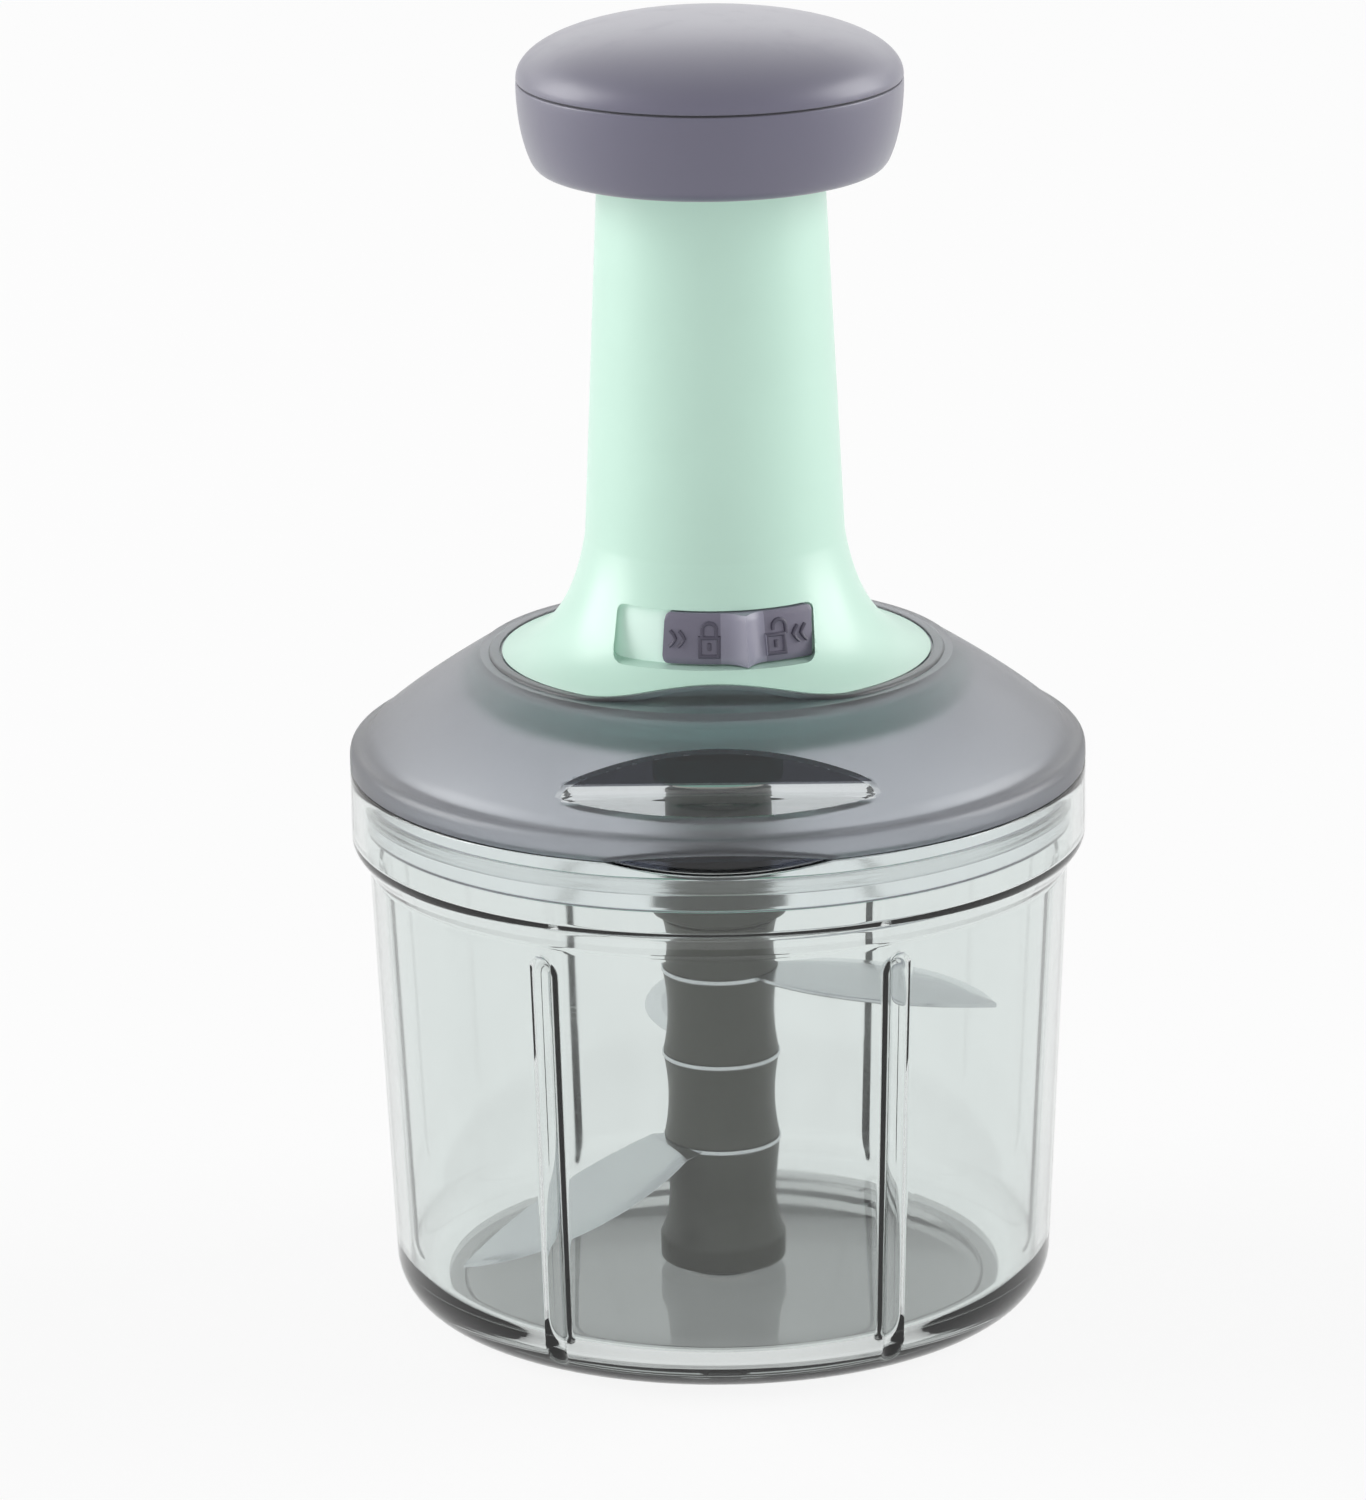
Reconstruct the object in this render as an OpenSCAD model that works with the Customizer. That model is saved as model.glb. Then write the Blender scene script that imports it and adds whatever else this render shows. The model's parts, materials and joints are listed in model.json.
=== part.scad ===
// Hand-press food chopper: clear bowl, smoke lid, flared handle housing with a press cap,
// a twisted drive rod and a three-blade shaft. Front is -Y, +X is right, the table is z = 0.
// The model stands with the cap pressed down and the lock slider pushed to the right.

/* [Fits] */
// Gap between pieces that move past each other
run_clear = 0.3; // [0.2:0.05:0.5]
// Radial clearance of a journal in its bush
journal_clear = 0.08; // [0.04:0.01:0.1]
// Gap between fixed pieces that slip together
slip_clear = 0.1; // [0.05:0.05:0.2]

/* [Bowl] */
// Height of the bowl from the table to its rim
bowl_h = 106.8; // [100:0.2:125]
// Outer radius of the collar round the mouth
collar_r = 70.2; // [66:0.2:80]
// Height of the collar
collar_h = 14.2; // [12.4:0.2:18]
// Step in from the collar to the wall
collar_step = 3.2; // [2.6:0.1:4.5]
// Wall thickness of the bowl
bowl_wall = 2.4; // [1.8:0.1:3]
// How far the wall leans in from the collar down to the base corner
wall_lean = 3.6; // [1:0.1:6]
// Radius of the rounded base corner
corner_r = 10; // [6:0.5:14]
// Thickness of the floor
floor_t = 3.5; // [2.5:0.1:5]
// Height of the foot ring under the floor
foot_h = 1.5; // [1:0.1:3]
// Width of the foot ring
foot_w = 3; // [2:0.1:6]
// Number of upright flutes round the wall
flute_count = 6; // [3:1:8]
// Radius of a flute
flute_r = 2.4; // [1.8:0.1:3]
// Depth of a flute
flute_depth = 1.5; // [0.8:0.1:1.8]
// Drop from the collar step to the round top of a flute
flute_drop = 6.5; // [4:0.5:15]
// Width of the finger notch between bowl and lid
notch_w = 42; // [25:1:60]
// Depth of the finger notch, in the bowl rim and again in the lid rim
notch_d = 2; // [1:0.1:3]
// Radius of the boss under the pivot pin
boss_r = 8; // [6:0.5:10]
// Height of that boss above the floor
boss_h = 1.2; // [0.6:0.1:2]
// Radius of the steel pivot pin
pin_r = 3; // [2.5:0.1:3.5]
// Height of the pivot pin above the boss
pin_h = 15; // [10:0.5:16]

/* [Lid] */
// Rise from the bowl rim to the deck that carries the housing
lid_rise = 21.8; // [20:0.2:28]
// Wall thickness of the lid
lid_wall = 2.4; // [1.8:0.1:3]
// Height of the upright rim
rim_h = 2.4; // [2:0.1:4]
// How far the crown curve pulls in from the rim
crown_in = 4.7; // [3:0.1:7]
// How far the crown curve rises before it leans over
crown_up = 8.7; // [7:0.1:11]
// Depth of the skirt inside the bowl
skirt_h = 9.8; // [8:0.2:11]
// Width and height of the groove for the seal
seal_h = 3; // [2:0.1:4]
// Depth of the groove for the seal
seal_d = 1.2; // [0.8:0.1:1.5]
// How far the seal stands out of its groove
seal_stand = 0.35; // [0.2:0.05:0.8]
// Height of the bead round the foot of the housing
bead_h = 1.2; // [0.6:0.1:2]
// Width of that bead
bead_w = 2.7; // [2:0.1:4]
// Radius of the hole in the deck
deck_hole_r = 20; // [18:0.5:24]
// Depth of the finger scoop's floor below the deck
scoop_drop = 14; // [12:0.5:15]
// Set-in of the scoop's back wall from the rim
scoop_in = 17.4; // [14:0.2:19]
// Lean of the scoop's back wall in degrees
scoop_lean = 10; // [5:1:20]
// Rounding between the scoop's floor and back wall
scoop_round = 5; // [2:0.5:7]
// Rise of the deck's front where it meets the flat front of the housing's foot
brow_h = 3.5; // [2:0.1:4]

/* [Housing] */
// Height of the housing above the deck
housing_h = 95.4; // [90:0.2:115]
// Outer radius at the top of the tube
tube_top_r = 21.3; // [21.3:0.1:24]
// Outer radius where the tube meets the flare
tube_low_r = 24.6; // [24.6:0.1:28]
// Height of the flare above the deck
flare_h = 23.4; // [20:0.2:28]
// Radius of the flared foot
flare_r = 42; // [40:0.2:44]
// Distance of the flat front of the foot from the axis
foot_flat = 34; // [33.5:0.1:36]
// Wall thickness of the tube
tube_wall = 2.2; // [1.6:0.1:2.4]
// Radius of the circle of the housing screws
screw_circle_r = 30; // [29:0.5:31]
// Number of housing screws
screw_count = 3; // [3:1:4]
// Shank radius of the screws
screw_r = 1.4; // [1:0.1:1.6]

/* [Lock] */
// Height of the slider's recess above the deck
recess_rise = 4.7; // [4.4:0.1:6]
// Height of the recess
recess_h = 9.9; // [9:0.1:12]
// Half of the recess's sweep in degrees
recess_half = 41.5; // [38:0.5:46]
// Sweep of the slider in degrees
slider_sweep = 60; // [50:1:62]
// Radius of the recess's floor
recess_floor_r = 25.5; // [24.8:0.1:26]
// Thickness of the slider at its top
slider_t = 1.9; // [1.4:0.1:2.4]
// Width of the thumb ridge
ridge_w = 8; // [5:0.5:10]
// Height of the thumb ridge
ridge_h = 2.8; // [1.5:0.1:4]

/* [Handle] */
// Radius of the cap
cap_r = 36.25; // [35.5:0.25:42]
// Height of the cap's skirt
skirt_cap_h = 16; // [15:0.2:22]
// Height of the cap's dome
dome_h = 12.5; // [10:0.5:18]
// Fullness of the dome, where 2 is an ellipse
dome_power = 2.3; // [1.9:0.1:3]
// How far the skirt tapers in to its lower edge
cap_taper = 4.75; // [3:0.25:5]
// Wall thickness of the cap
cap_wall = 2.2; // [1.6:0.1:3]
// How far the skirt hangs below the top of the housing
cap_overlap = 1.7; // [1:0.1:2.4]
// Travel of the handle
press_travel = 48; // [40:1:50]
// Outer radius of the plunger
plunger_r = 16.8; // [16:0.1:16.8]
// Wall thickness of the plunger
plunger_wall = 2.3; // [1.8:0.1:2.6]
// Height of the stop flange and width of its bearing face
flange_h = 3; // [2:0.1:4]
// How far the stop flange stands out from the plunger
flange_w = 1.1; // [0.8:0.1:1.2]

/* [Drive] */
// Climb of the twisted rod in one turn
lead = 40; // [36:1:48]
// Width of the twisted bar
bar_w = 9; // [8:0.1:10]
// Thickness of the twisted bar
bar_t = 4.4; // [4:0.1:5]
// Radius of the rod's journal
journal_r = 4; // [3.6:0.1:4.2]
// Height of the nut
nut_h = 8; // [6:0.5:9]
// Height of the nut above the deck
nut_rise = 31.4; // [28:0.2:33]
// Wire diameter of the return spring
wire_d = 1.4; // [1:0.1:1.6]
// Mean radius of the return spring
spring_r = 10.5; // [10:0.1:11]
// Turns of the return spring
spring_turns = 9; // [6:1:10]
// Radius of the drive coupler and of the clutch driver
coupler_r = 9; // [8:0.1:9.4]
// Width across the flats of the coupler's hexagon
hex_flats = 11; // [10:0.1:11.5]
// Length of the coupler's hexagon
hex_len = 11.5; // [9:0.1:12]

/* [Blade shaft] */
// Height of the lowest blade plate
blade_z = 30.5; // [28:0.1:32]
// Spacing of the blade plates
blade_step = 17.2; // [15:0.1:17.2]
// Thickness of a blade
blade_t = 0.8; // [0.6:0.1:1.2]
// Gap from a blade's tip to the bowl's wall
tip_gap = 3; // [2.5:0.5:8]
// Half width of a blade on its cutting side
blade_lead_w = 15; // [10:0.5:16]
// Half width of a blade on its back
blade_back_w = 8; // [5:0.5:10]
// Droop of the lowest blade in degrees
blade_droop = 24; // [10:1:25]
// Radius of the shaft's segments at their ends
shaft_r = 11.2; // [10.6:0.1:12]
// How far a segment draws in at its waist
shaft_waist = 0.9; // [0.4:0.1:1.2]
// Radius of the splash flange near the top
splash_r = 13; // [12.2:0.1:15]
// Drop from the bowl's rim to the top of the shaft
shaft_drop = 8.8; // [8:0.2:11]
// Radius of the steel core
core_r = 3.5; // [3:0.1:3.6]

/* [Hidden] */
$fn = 96;
eps = 0.01;
far = 400;
// How far a cutter runs past a face
over = 1;
// Chamfers of moulded edges
edge = 0.8;
fine_edge = 0.6;
// Axial play in a stack of pieces on one shaft
stack_gap = 0.2;

// Bowl
step_z = bowl_h - collar_h;
wall_top_r = collar_r - collar_step;
wall_low_r = wall_top_r - wall_lean;
foot_r = wall_low_r - corner_r;
floor_z = foot_h + floor_t;
boss_z = floor_z + boss_h;
collar_in_r = collar_r - bowl_wall;
inner_corner_r = corner_r - bowl_wall;
flute_top_z = step_z - flute_drop;
wall_tilt = atan(wall_lean / (step_z - collar_step - corner_r));
rib_thin = 0.4;
rib_r = flute_r + bowl_wall - rib_thin;
pin_floor = 1;
pin_sink = floor_t - pin_floor;
pin_edge = 1;
corner_start = -80;
collar_bow = 0.7;
ledge_drop = 0.4;
first_flute = 30;
notch_y = collar_in_r * 0.8;
notch_r = (pow(notch_w / 2, 2) + pow(notch_d, 2)) / (2 * notch_d);

// Lid
deck_z = bowl_h + lid_rise;
deck_low_z = deck_z - lid_wall;
skirt_r = collar_in_r - run_clear - seal_stand;
skirt_in_r = skirt_r - lid_wall;
seal_z = bowl_h - skirt_h / 2;
bead_in_r = flare_r + run_clear;
bead_out_r = bead_in_r + bead_w;
crown_low = [collar_r, bowl_h + rim_h];
crown_mid = [collar_r - crown_in, bowl_h + crown_up];
shoulder_w = 1;
crown_top = [bead_out_r + shoulder_w, deck_z - edge];
hollow_pull = lid_wall * 0.72;
hollow_edge = 1.5;
brow_sink = 1;
brow_foot = 2;
seal_lip = 0.3;
scoop_z = deck_z - scoop_drop;
scoop_y = collar_r - scoop_in;

// Housing and what it holds
top_z = deck_z + housing_h;
flare_z = deck_z + flare_h;
bore_relief = 0.4;
bore_r = tube_low_r - tube_wall - bore_relief;
bore_z = deck_z + recess_rise - bore_relief;
flare_pull = [3.9, 2.9];
flare_rim_w = 2.6;
flare_web_w = 9;
flare_web_h = 1.7;
boss_up = 3;
top_bore_r = tube_top_r - tube_wall;
plate_t = 3.5;
plate_low_z = deck_low_z - plate_t;
plate_rim_w = 2;
plate_r = bead_out_r + plate_rim_w;
plate_edge_drop = 3;
well_wall = 2;
well_gap = 1.5;
well_r = coupler_r + well_gap;
screw_head_r = 2 * screw_r;
screw_head_h = 1.8;
screw_grip = 5;
screw_short = 0.5;
boss_wall = 2;
sleeve_flange_h = 2;
sleeve_flange_r = tube_top_r - run_clear;
sleeve_r = top_bore_r - slip_clear;
sleeve_bore_r = plunger_r + run_clear;

// Handle
plunger_gap = 2.4;
plunger_z = deck_z + plunger_gap;
flange_r = plunger_r + flange_w;
sleeve_z = plunger_z + flange_h + press_travel + run_clear;
skirt_low_z = top_z - cap_overlap;
seam_z = skirt_low_z + skirt_cap_h;
seam_gap = 0.35;
cap_edge_round = 2.5;
shelf_t = 2.5;
shelf_z = top_z + sleeve_flange_h + screw_head_h + run_clear;
plate_z = shelf_z + shelf_t;
plate_top_z = plate_z + shelf_t;
cap_edge_w = 1.4;
cap_low_in_r = cap_r - cap_taper - cap_edge_w;
head_gap = 1.2;
cap_screw_circle_r = cap_low_in_r - screw_head_r - head_gap;
shelf_in_r = cap_screw_circle_r - screw_head_r - head_gap / 2;
plunger_plate_r = cap_r - cap_wall - 4;
lip_r = cap_r - cap_wall - fine_edge;
lip_t = 1.8;
lip_h = 1.6;
lip_root = 2;
side_straight = 2;
side_bow = 0.6;
side_foot = 1.2;
plunger_in_r = plunger_r - plunger_wall;
ledge_t = 4;
nut_z = deck_z + nut_rise;
nut_r = plunger_in_r - slip_clear;
ledge_seat = 1.5;
ledge_in_r = spring_r + wire_d / 2 - ledge_seat;
nut_clear = 0.4;
retainer_h = 3;
retainer_w = 4;
catch_gap = 0.5;
catch_d = 1;
catch_z = deck_z + recess_rise + recess_h / 2;

// Drive line
bush_flange_h = 1;
spring_room = 1.5;
bush_flange_r = spring_r - wire_d / 2 - spring_room;
bush_wall = 2;
bush_stand = 1.7;
bush_z = plate_low_z - bush_stand;
rod_low_z = deck_z + bush_flange_h + run_clear;
rod_spare = 6;
rod_top_z = nut_z + nut_h + press_travel + rod_spare;
rod_root = 2;
clip_t = 0.8;
clip_z = bush_z - clip_t - stack_gap;
clip_w = 2.2;
clip_bite = 0.7;
clip_mouth = 1;
driver_h = 4.5;
driver_z = clip_z - driver_h - stack_gap;
dog_h = 2;
dog_count = 4;
dog_sweep = 40;
dog_in = 1.5;
dog_out = 0.8;
dog_slack = 8;
dog_room = 0.5;
coupler_top_z = driver_z - slip_clear;
shaft_top_z = bowl_h - shaft_drop;
hex_stand = 1.5;
hex_top_z = shaft_top_z + hex_stand;
hex_low_z = hex_top_z - hex_len;
hex_r = hex_flats / 2 / cos(30);
socket_r = (hex_flats / 2 + run_clear) / cos(30);
head_well = 7.5;
coupler_screw_head_z = hex_low_z + head_well;
screw_web = 3;
journal_low_z = coupler_screw_head_z + screw_web;
well_stand = 4;
well_low_z = shaft_top_z + well_stand;

// Lock
recess_z = deck_z + recess_rise;
recess_corner = 2;
corner_relief = 0.15;
slider_z = recess_z + run_clear;
slider_h = recess_h - 2 * run_clear;
slider_in_r = recess_floor_r + run_clear;
end_turn = 1;
slider_end = recess_half - end_turn;
slider_mid = slider_end - slider_sweep / 2;
lock_travel = 2 * (recess_half - end_turn) - slider_sweep;
flare_slider_r = slider_in_r + slider_t;
slider_flare = 1.9;
slider_foot_r = flare_slider_r + slider_flare;
slider_root = 0.5;
ridge_flat = 0.6;
tongue_gap = 0.6;
tongue_in_r = flange_r + tongue_gap;
tongue_r = bore_r - tongue_gap;
tongue_h = 5;
tongue_half = 17;
neck_half = 6;
neck_h = 4;
neck_slot_half = neck_half + lock_travel / 2 + end_turn;

// Blade shaft
foot_low_z = boss_z + run_clear;
foot_flare = 0.9;
shaft_foot_r = shaft_r + foot_flare;
foot_flare_h = 5;
foot_neck_h = 3;
middle_z = blade_z + blade_step;
upper_z = middle_z + blade_step;
splash_rise = 11.5;
splash_z = upper_z + splash_rise;
splash_root = 1;
splash_h = 4;
neck_in = 1;
neck_r = shaft_r - neck_in;
bush_bore_r = pin_r + journal_clear;
shaft_bush_r = pin_r + bush_wall;
shaft_bush_top_z = boss_z + pin_h + 2 * run_clear;
core_depth = 6;
core_low_z = blade_z - core_depth;
nut_t = 3;
nut_corner = 1;
socket_z = hex_low_z - nut_t - 2 * run_clear;
core_top_z = socket_z + nut_t + stack_gap;
blade_reach = wall_low_r - bowl_wall - tip_gap;
bend_gap = 1;
blade_bend_r = shaft_r + bend_gap;
hub_stand = 0.2;
blade_hub_r = shaft_r + hub_stand;
bend_lap = blade_t * 0.4;
upper_turn = 63;
middle_turn = 180;
lower_turn = -66;

// Points of an arc about a centre, from one angle to another
function arc(c, r, a0, a1, n) = [for (i = [0:n]) let (a = a0 + (a1 - a0) * i / n) c + r * [cos(a), sin(a)]];
// Points of a curve that leaves p0 towards p1 and arrives at p2
function bend(p0, p1, p2, n) = [for (i = [0:n]) let (t = i / n)
    (1 - t) * (1 - t) * p0 + 2 * t * (1 - t) * p1 + t * t * p2];
// Points of a dome's quarter outline, from its edge to its crown
function dome_line(r, z, h, power, n) = [for (i = [0:n]) let (a = 90 * i / n)
    [r * pow(cos(a), 2 / power), z + h * pow(sin(a), 2 / power)]];
// Angle in the drawing plane of a direction counted from the front, positive to the right
function from_front(a) = a - 90;

// Ring sector between two radii and two heights, with its angles counted from the front
module sector(r0, r1, z0, z1, a0, a1) {
    rotate(from_front(a0))
        rotate_extrude(angle = a1 - a0)
            translate([r0, z0]) square([r1 - r0, z1 - z0]);
}

// Solid of revolution of an outline
module turned(points) {
    rotate_extrude() polygon(points);
}

// Tube between two heights
module tube(r_out, r_in, z0, z1) {
    difference() {
        translate([0, 0, z0]) cylinder(r = r_out, h = z1 - z0);
        translate([0, 0, z0 - over]) cylinder(r = r_in, h = z1 - z0 + 2 * over);
    }
}

// Upright drilling from one height to another
module drill(r, z0, z1) {
    translate([0, 0, z0]) cylinder(r = r, h = z1 - z0);
}

// Places children on a circle
module on_circle(r, count, start = 0) {
    for (i = [0:count - 1]) rotate(start + 360 * i / count) translate([r, 0, 0]) children();
}

// Pan-head screw that points up, with its head under the joint at z
module screw_up(z, length) {
    translate([0, 0, z - screw_head_h]) cylinder(r = screw_head_r, h = screw_head_h);
    translate([0, 0, z - eps]) cylinder(r = screw_r, h = length + eps);
}

// Everything in front of the plane at the given distance from the axis
module in_front_of(y, z0, z1) {
    translate([-far / 2, -y - far, z0]) cube([far, far, z1 - z0]);
}

// Bowl
function bowl_outline() = concat([[0, 0], [foot_r, 0]], arc([foot_r, corner_r], corner_r, corner_start, 0, 8),
    bend([wall_top_r, step_z - collar_step], [collar_r, step_z - collar_step * collar_bow],
        [collar_r, step_z], 6),
    [[collar_r, bowl_h], [0, bowl_h]]);
function bowl_hollow() = concat([[0, floor_z]],
    arc([wall_low_r - bowl_wall - inner_corner_r, floor_z + inner_corner_r], inner_corner_r, -90, 0, 8),
    [[wall_top_r - bowl_wall, step_z - ledge_drop], [collar_in_r, step_z + bowl_wall / 2],
    [collar_in_r, bowl_h + over], [0, bowl_h + over]]);

// Round-topped bar that lies along the leaning wall, its middle outside the wall by the given amount
module wall_bar(r, out, angle) {
    length = (flute_top_z - r - corner_r) / cos(wall_tilt);
    rotate(angle) translate([wall_low_r + out, 0, corner_r]) rotate([0, wall_tilt, 0])
        turned(concat([[0, -corner_r]], [[r, -corner_r]], arc([0, length], r, 0, 90, 6)));
}

// Cylinder across the front rim whose edge just bites into it
module rim_notch(z, up) {
    translate([0, 0, z + (up ? notch_r - notch_d : notch_d - notch_r)])
        rotate([90, 0, 0]) cylinder(r = notch_r, h = far, $fn = 180);
}

module bowl() {
    flute_out = flute_r - flute_depth;
    color([0.82, 0.86, 0.86, 0.35]) difference() {
        union() {
            difference() {
                turned(bowl_outline());
                turned(bowl_hollow());
            }
            intersection() {
                union() for (i = [0:flute_count - 1])
                    wall_bar(rib_r, flute_out, from_front(first_flute) + 360 * i / flute_count);
                turned(bowl_outline());
                translate([0, 0, floor_z - eps]) cylinder(r = far, h = far);
            }
            translate([0, 0, foot_h]) cylinder(r = boss_r, h = boss_z - foot_h);
        }
        for (i = [0:flute_count - 1])
            wall_bar(flute_r, flute_out, from_front(first_flute) + 360 * i / flute_count);
        drill(foot_r - foot_w, -over, foot_h);
        drill(pin_r + slip_clear, boss_z - pin_sink, boss_z + over);
        intersection() {
            rim_notch(bowl_h, true);
            in_front_of(notch_y, bowl_h - collar_h / 2, bowl_h + over);
        }
    }
}

module bowl_pin() {
    color("silver") turned([[0, boss_z - pin_sink], [pin_r, boss_z - pin_sink],
        [pin_r, boss_z + pin_h - pin_edge], [pin_r - pin_edge, boss_z + pin_h], [0, boss_z + pin_h]]);
}

// Lid
function crown_line() = bend(crown_low, crown_mid, crown_top, 12);
function lid_outline() = concat([[0, bowl_h], [collar_r - edge, bowl_h], [collar_r, bowl_h + edge]],
    crown_line(), [[bead_out_r, deck_z], [0, deck_z]]);
function lid_hollow() = concat([[0, bowl_h - skirt_h - over], [skirt_in_r, bowl_h - skirt_h - over]],
    bend([skirt_in_r, bowl_h + rim_h + over], crown_mid - [1, 1] * hollow_pull,
        [bead_out_r, deck_low_z - edge], 12),
    [[bead_out_r - hollow_edge, deck_low_z], [0, deck_low_z]]);
// Side view of the finger scoop, grown by the given amount
function scoop_side(grow) = let (z = scoop_z - grow, y = -scoop_y + grow, r = scoop_round + grow, rise = 40)
    concat([[-far, z]], arc([y - r, z + r], r, -90, -scoop_lean, 6),
        [[y + rise * tan(scoop_lean), z + rise], [-far, z + rise]]);

module scoop(grow) {
    rotate([90, 0, 90]) translate([0, 0, -far / 2]) linear_extrude(far) polygon(scoop_side(grow));
}

// Raised front of the deck that meets the flat front of the housing's foot
module brow() {
    intersection() {
        turned([[bore_r, deck_low_z + brow_sink], [bore_r, deck_z + brow_h], [foot_flat, deck_z + brow_h],
            [bead_out_r + brow_foot, deck_low_z + fine_edge]]);
        in_front_of(foot_flat + slip_clear, deck_low_z, top_z);
    }
}

module lid() {
    color([0.55, 0.56, 0.62, 0.6]) difference() {
        union() {
            difference() {
                union() {
                    turned(lid_outline());
                    difference() {
                        turned([[bead_in_r, deck_z - eps], [bead_out_r, deck_z - eps],
                            [bead_out_r, deck_z + bead_h - fine_edge],
                            [bead_out_r - fine_edge, deck_z + bead_h],
                            [bead_in_r, deck_z + bead_h]]);
                        in_front_of(foot_flat, deck_low_z, top_z);
                    }
                    brow();
                }
                intersection() {
                    rim_notch(bowl_h, false);
                    in_front_of(notch_y, bowl_h - over, deck_z);
                }
                difference() {
                    turned(lid_hollow());
                    scoop(lid_wall);
                }
                scoop(0);
            }
            tube(skirt_r, skirt_in_r, bowl_h - skirt_h, bowl_h + rim_h);
        }
        tube(far, skirt_r - seal_d, seal_z - seal_h / 2, seal_z + seal_h / 2);
        drill(deck_hole_r, bowl_h, top_z);
        on_circle(screw_circle_r, screw_count, 90)
            drill(screw_r + slip_clear, deck_low_z - over, deck_z + over);
    }
}

module lid_seal() {
    r0 = skirt_r - seal_d + slip_clear / 2;
    r1 = collar_in_r - run_clear;
    z0 = seal_z - seal_h / 2 + slip_clear;
    h = seal_h - 2 * slip_clear;
    color("whitesmoke") turned([[r0, z0], [r1 - seal_lip, z0], [r1, z0 + h * 0.2],
        [r1 - seal_lip, z0 + h * 0.5], [r1, z0 + h * 0.8], [r1 - seal_lip, z0 + h], [r0, z0 + h]]);
}

// Housing
function flare_line() = bend([flare_r, deck_z], [tube_low_r, deck_z] + flare_pull, [tube_low_r, flare_z], 14);
function housing_outline() = concat([[0, deck_z]], flare_line(), [[tube_top_r, top_z], [0, top_z]]);
function housing_hollow() = [[0, deck_z - over], [flare_r - flare_rim_w, deck_z - over],
    [flare_r - flare_rim_w, deck_z], [flare_r - flare_web_w, deck_z + flare_web_h], [bore_r, bore_z],
    [bore_r, flare_z], [top_bore_r, top_z + eps], [0, top_z + eps]];

// Cross-shaped window on the front of a cylinder, cut straight out along its radius
module window(r, z0, z1, a0, a1, corner) {
    corner_turn = corner / r * 180 / PI;
    sector(r, flare_r, z0 + corner, z1 - corner, a0, a1);
    sector(r, flare_r, z0, z1, a0 + corner_turn, a1 - corner_turn);
}

// Round corners that complete such a window
module window_corners(r, z0, z1, a0, a1, corner) {
    corner_turn = corner / r * 180 / PI;
    for (a = [a0 + corner_turn, a1 - corner_turn], z = [z0 + corner, z1 - corner])
        rotate(from_front(a)) translate([r + eps, 0, z]) rotate([0, 90, 0])
            cylinder(r = corner - corner_relief, h = flare_r - r - over);
}

module housing() {
    color([0.72, 0.9, 0.8]) difference() {
        union() {
            difference() {
                turned(housing_outline());
                turned(housing_hollow());
            }
            intersection() {
                on_circle(screw_circle_r, screw_count, 90)
                    translate([0, 0, deck_z]) cylinder(r = screw_r + boss_wall, h = recess_rise + boss_up);
                turned(housing_outline());
            }
        }
        on_circle(screw_circle_r, screw_count, 90) drill(screw_r, deck_z - over, deck_z + screw_grip);
        in_front_of(foot_flat, deck_z - over, recess_z + recess_h);
        window(recess_floor_r, recess_z, recess_z + recess_h, -recess_half, recess_half, recess_corner);
        window_corners(recess_floor_r, recess_z, recess_z + recess_h, -recess_half, recess_half,
            recess_corner);
        sector(tongue_r, recess_floor_r + over, catch_z - neck_h / 2 - run_clear,
            catch_z + neck_h / 2 + run_clear, -neck_slot_half, neck_slot_half);
    }
}

module base_plate() {
    color([0.66, 0.85, 0.76]) difference() {
        turned([[0, deck_z], [deck_hole_r - slip_clear, deck_z], [deck_hole_r - slip_clear, deck_low_z],
            [bead_out_r - plate_rim_w, deck_low_z], [plate_r, deck_low_z - plate_edge_drop],
            [plate_r, plate_low_z - plate_edge_drop], [bead_out_r - plate_rim_w, plate_low_z],
            [well_r + well_wall, plate_low_z], [well_r + well_wall, well_low_z], [well_r, well_low_z],
            [well_r, plate_low_z], [0, plate_low_z]]);
        drill(journal_r + bush_wall + slip_clear, plate_low_z - over, deck_z + over);
        on_circle(screw_circle_r, screw_count, 90)
            drill(screw_r + slip_clear, plate_low_z - over, deck_z + over);
    }
}

module housing_screws() {
    color("silver") on_circle(screw_circle_r, screw_count, 90)
        screw_up(plate_low_z, deck_z - plate_low_z + screw_grip - screw_short);
}

module lower_bush() {
    color("goldenrod") turned([[journal_r + journal_clear, bush_z], [journal_r + bush_wall, bush_z],
        [journal_r + bush_wall, deck_z], [bush_flange_r, deck_z], [bush_flange_r, deck_z + bush_flange_h],
        [journal_r + journal_clear, deck_z + bush_flange_h]]);
}

module guide_sleeve() {
    color("dimgray") turned([[sleeve_bore_r, sleeve_z], [sleeve_r, sleeve_z], [sleeve_r, top_z],
        [sleeve_flange_r, top_z], [sleeve_flange_r, top_z + sleeve_flange_h - fine_edge],
        [sleeve_flange_r - fine_edge, top_z + sleeve_flange_h], [sleeve_bore_r, top_z + sleeve_flange_h]]);
}

// Return spring: one wire wound from the plate up to the ledge under the nut
spring_low_z = deck_z + wire_d / 2;
spring_high_z = nut_z - ledge_t - slip_clear - wire_d / 2;
rings_per_turn = 8;
wire_sides = 6;
spring_pitch = (spring_high_z - spring_low_z) / spring_turns;
spring_rings = rings_per_turn * spring_turns;
function wire_ring(i) = let (turn = i / rings_per_turn, a = 360 * turn, z = spring_low_z + spring_pitch * turn)
    [for (j = [0:wire_sides - 1]) let (b = 360 * j / wire_sides, r = spring_r + wire_d / 2 * cos(b))
        [r * cos(a), r * sin(a), z + wire_d / 2 * sin(b)]];
echo(spring_least_gap = min([for (i = [rings_per_turn:spring_rings])
    norm(wire_ring(i)[0] - wire_ring(i - rings_per_turn)[0]) - wire_d]));

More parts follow.
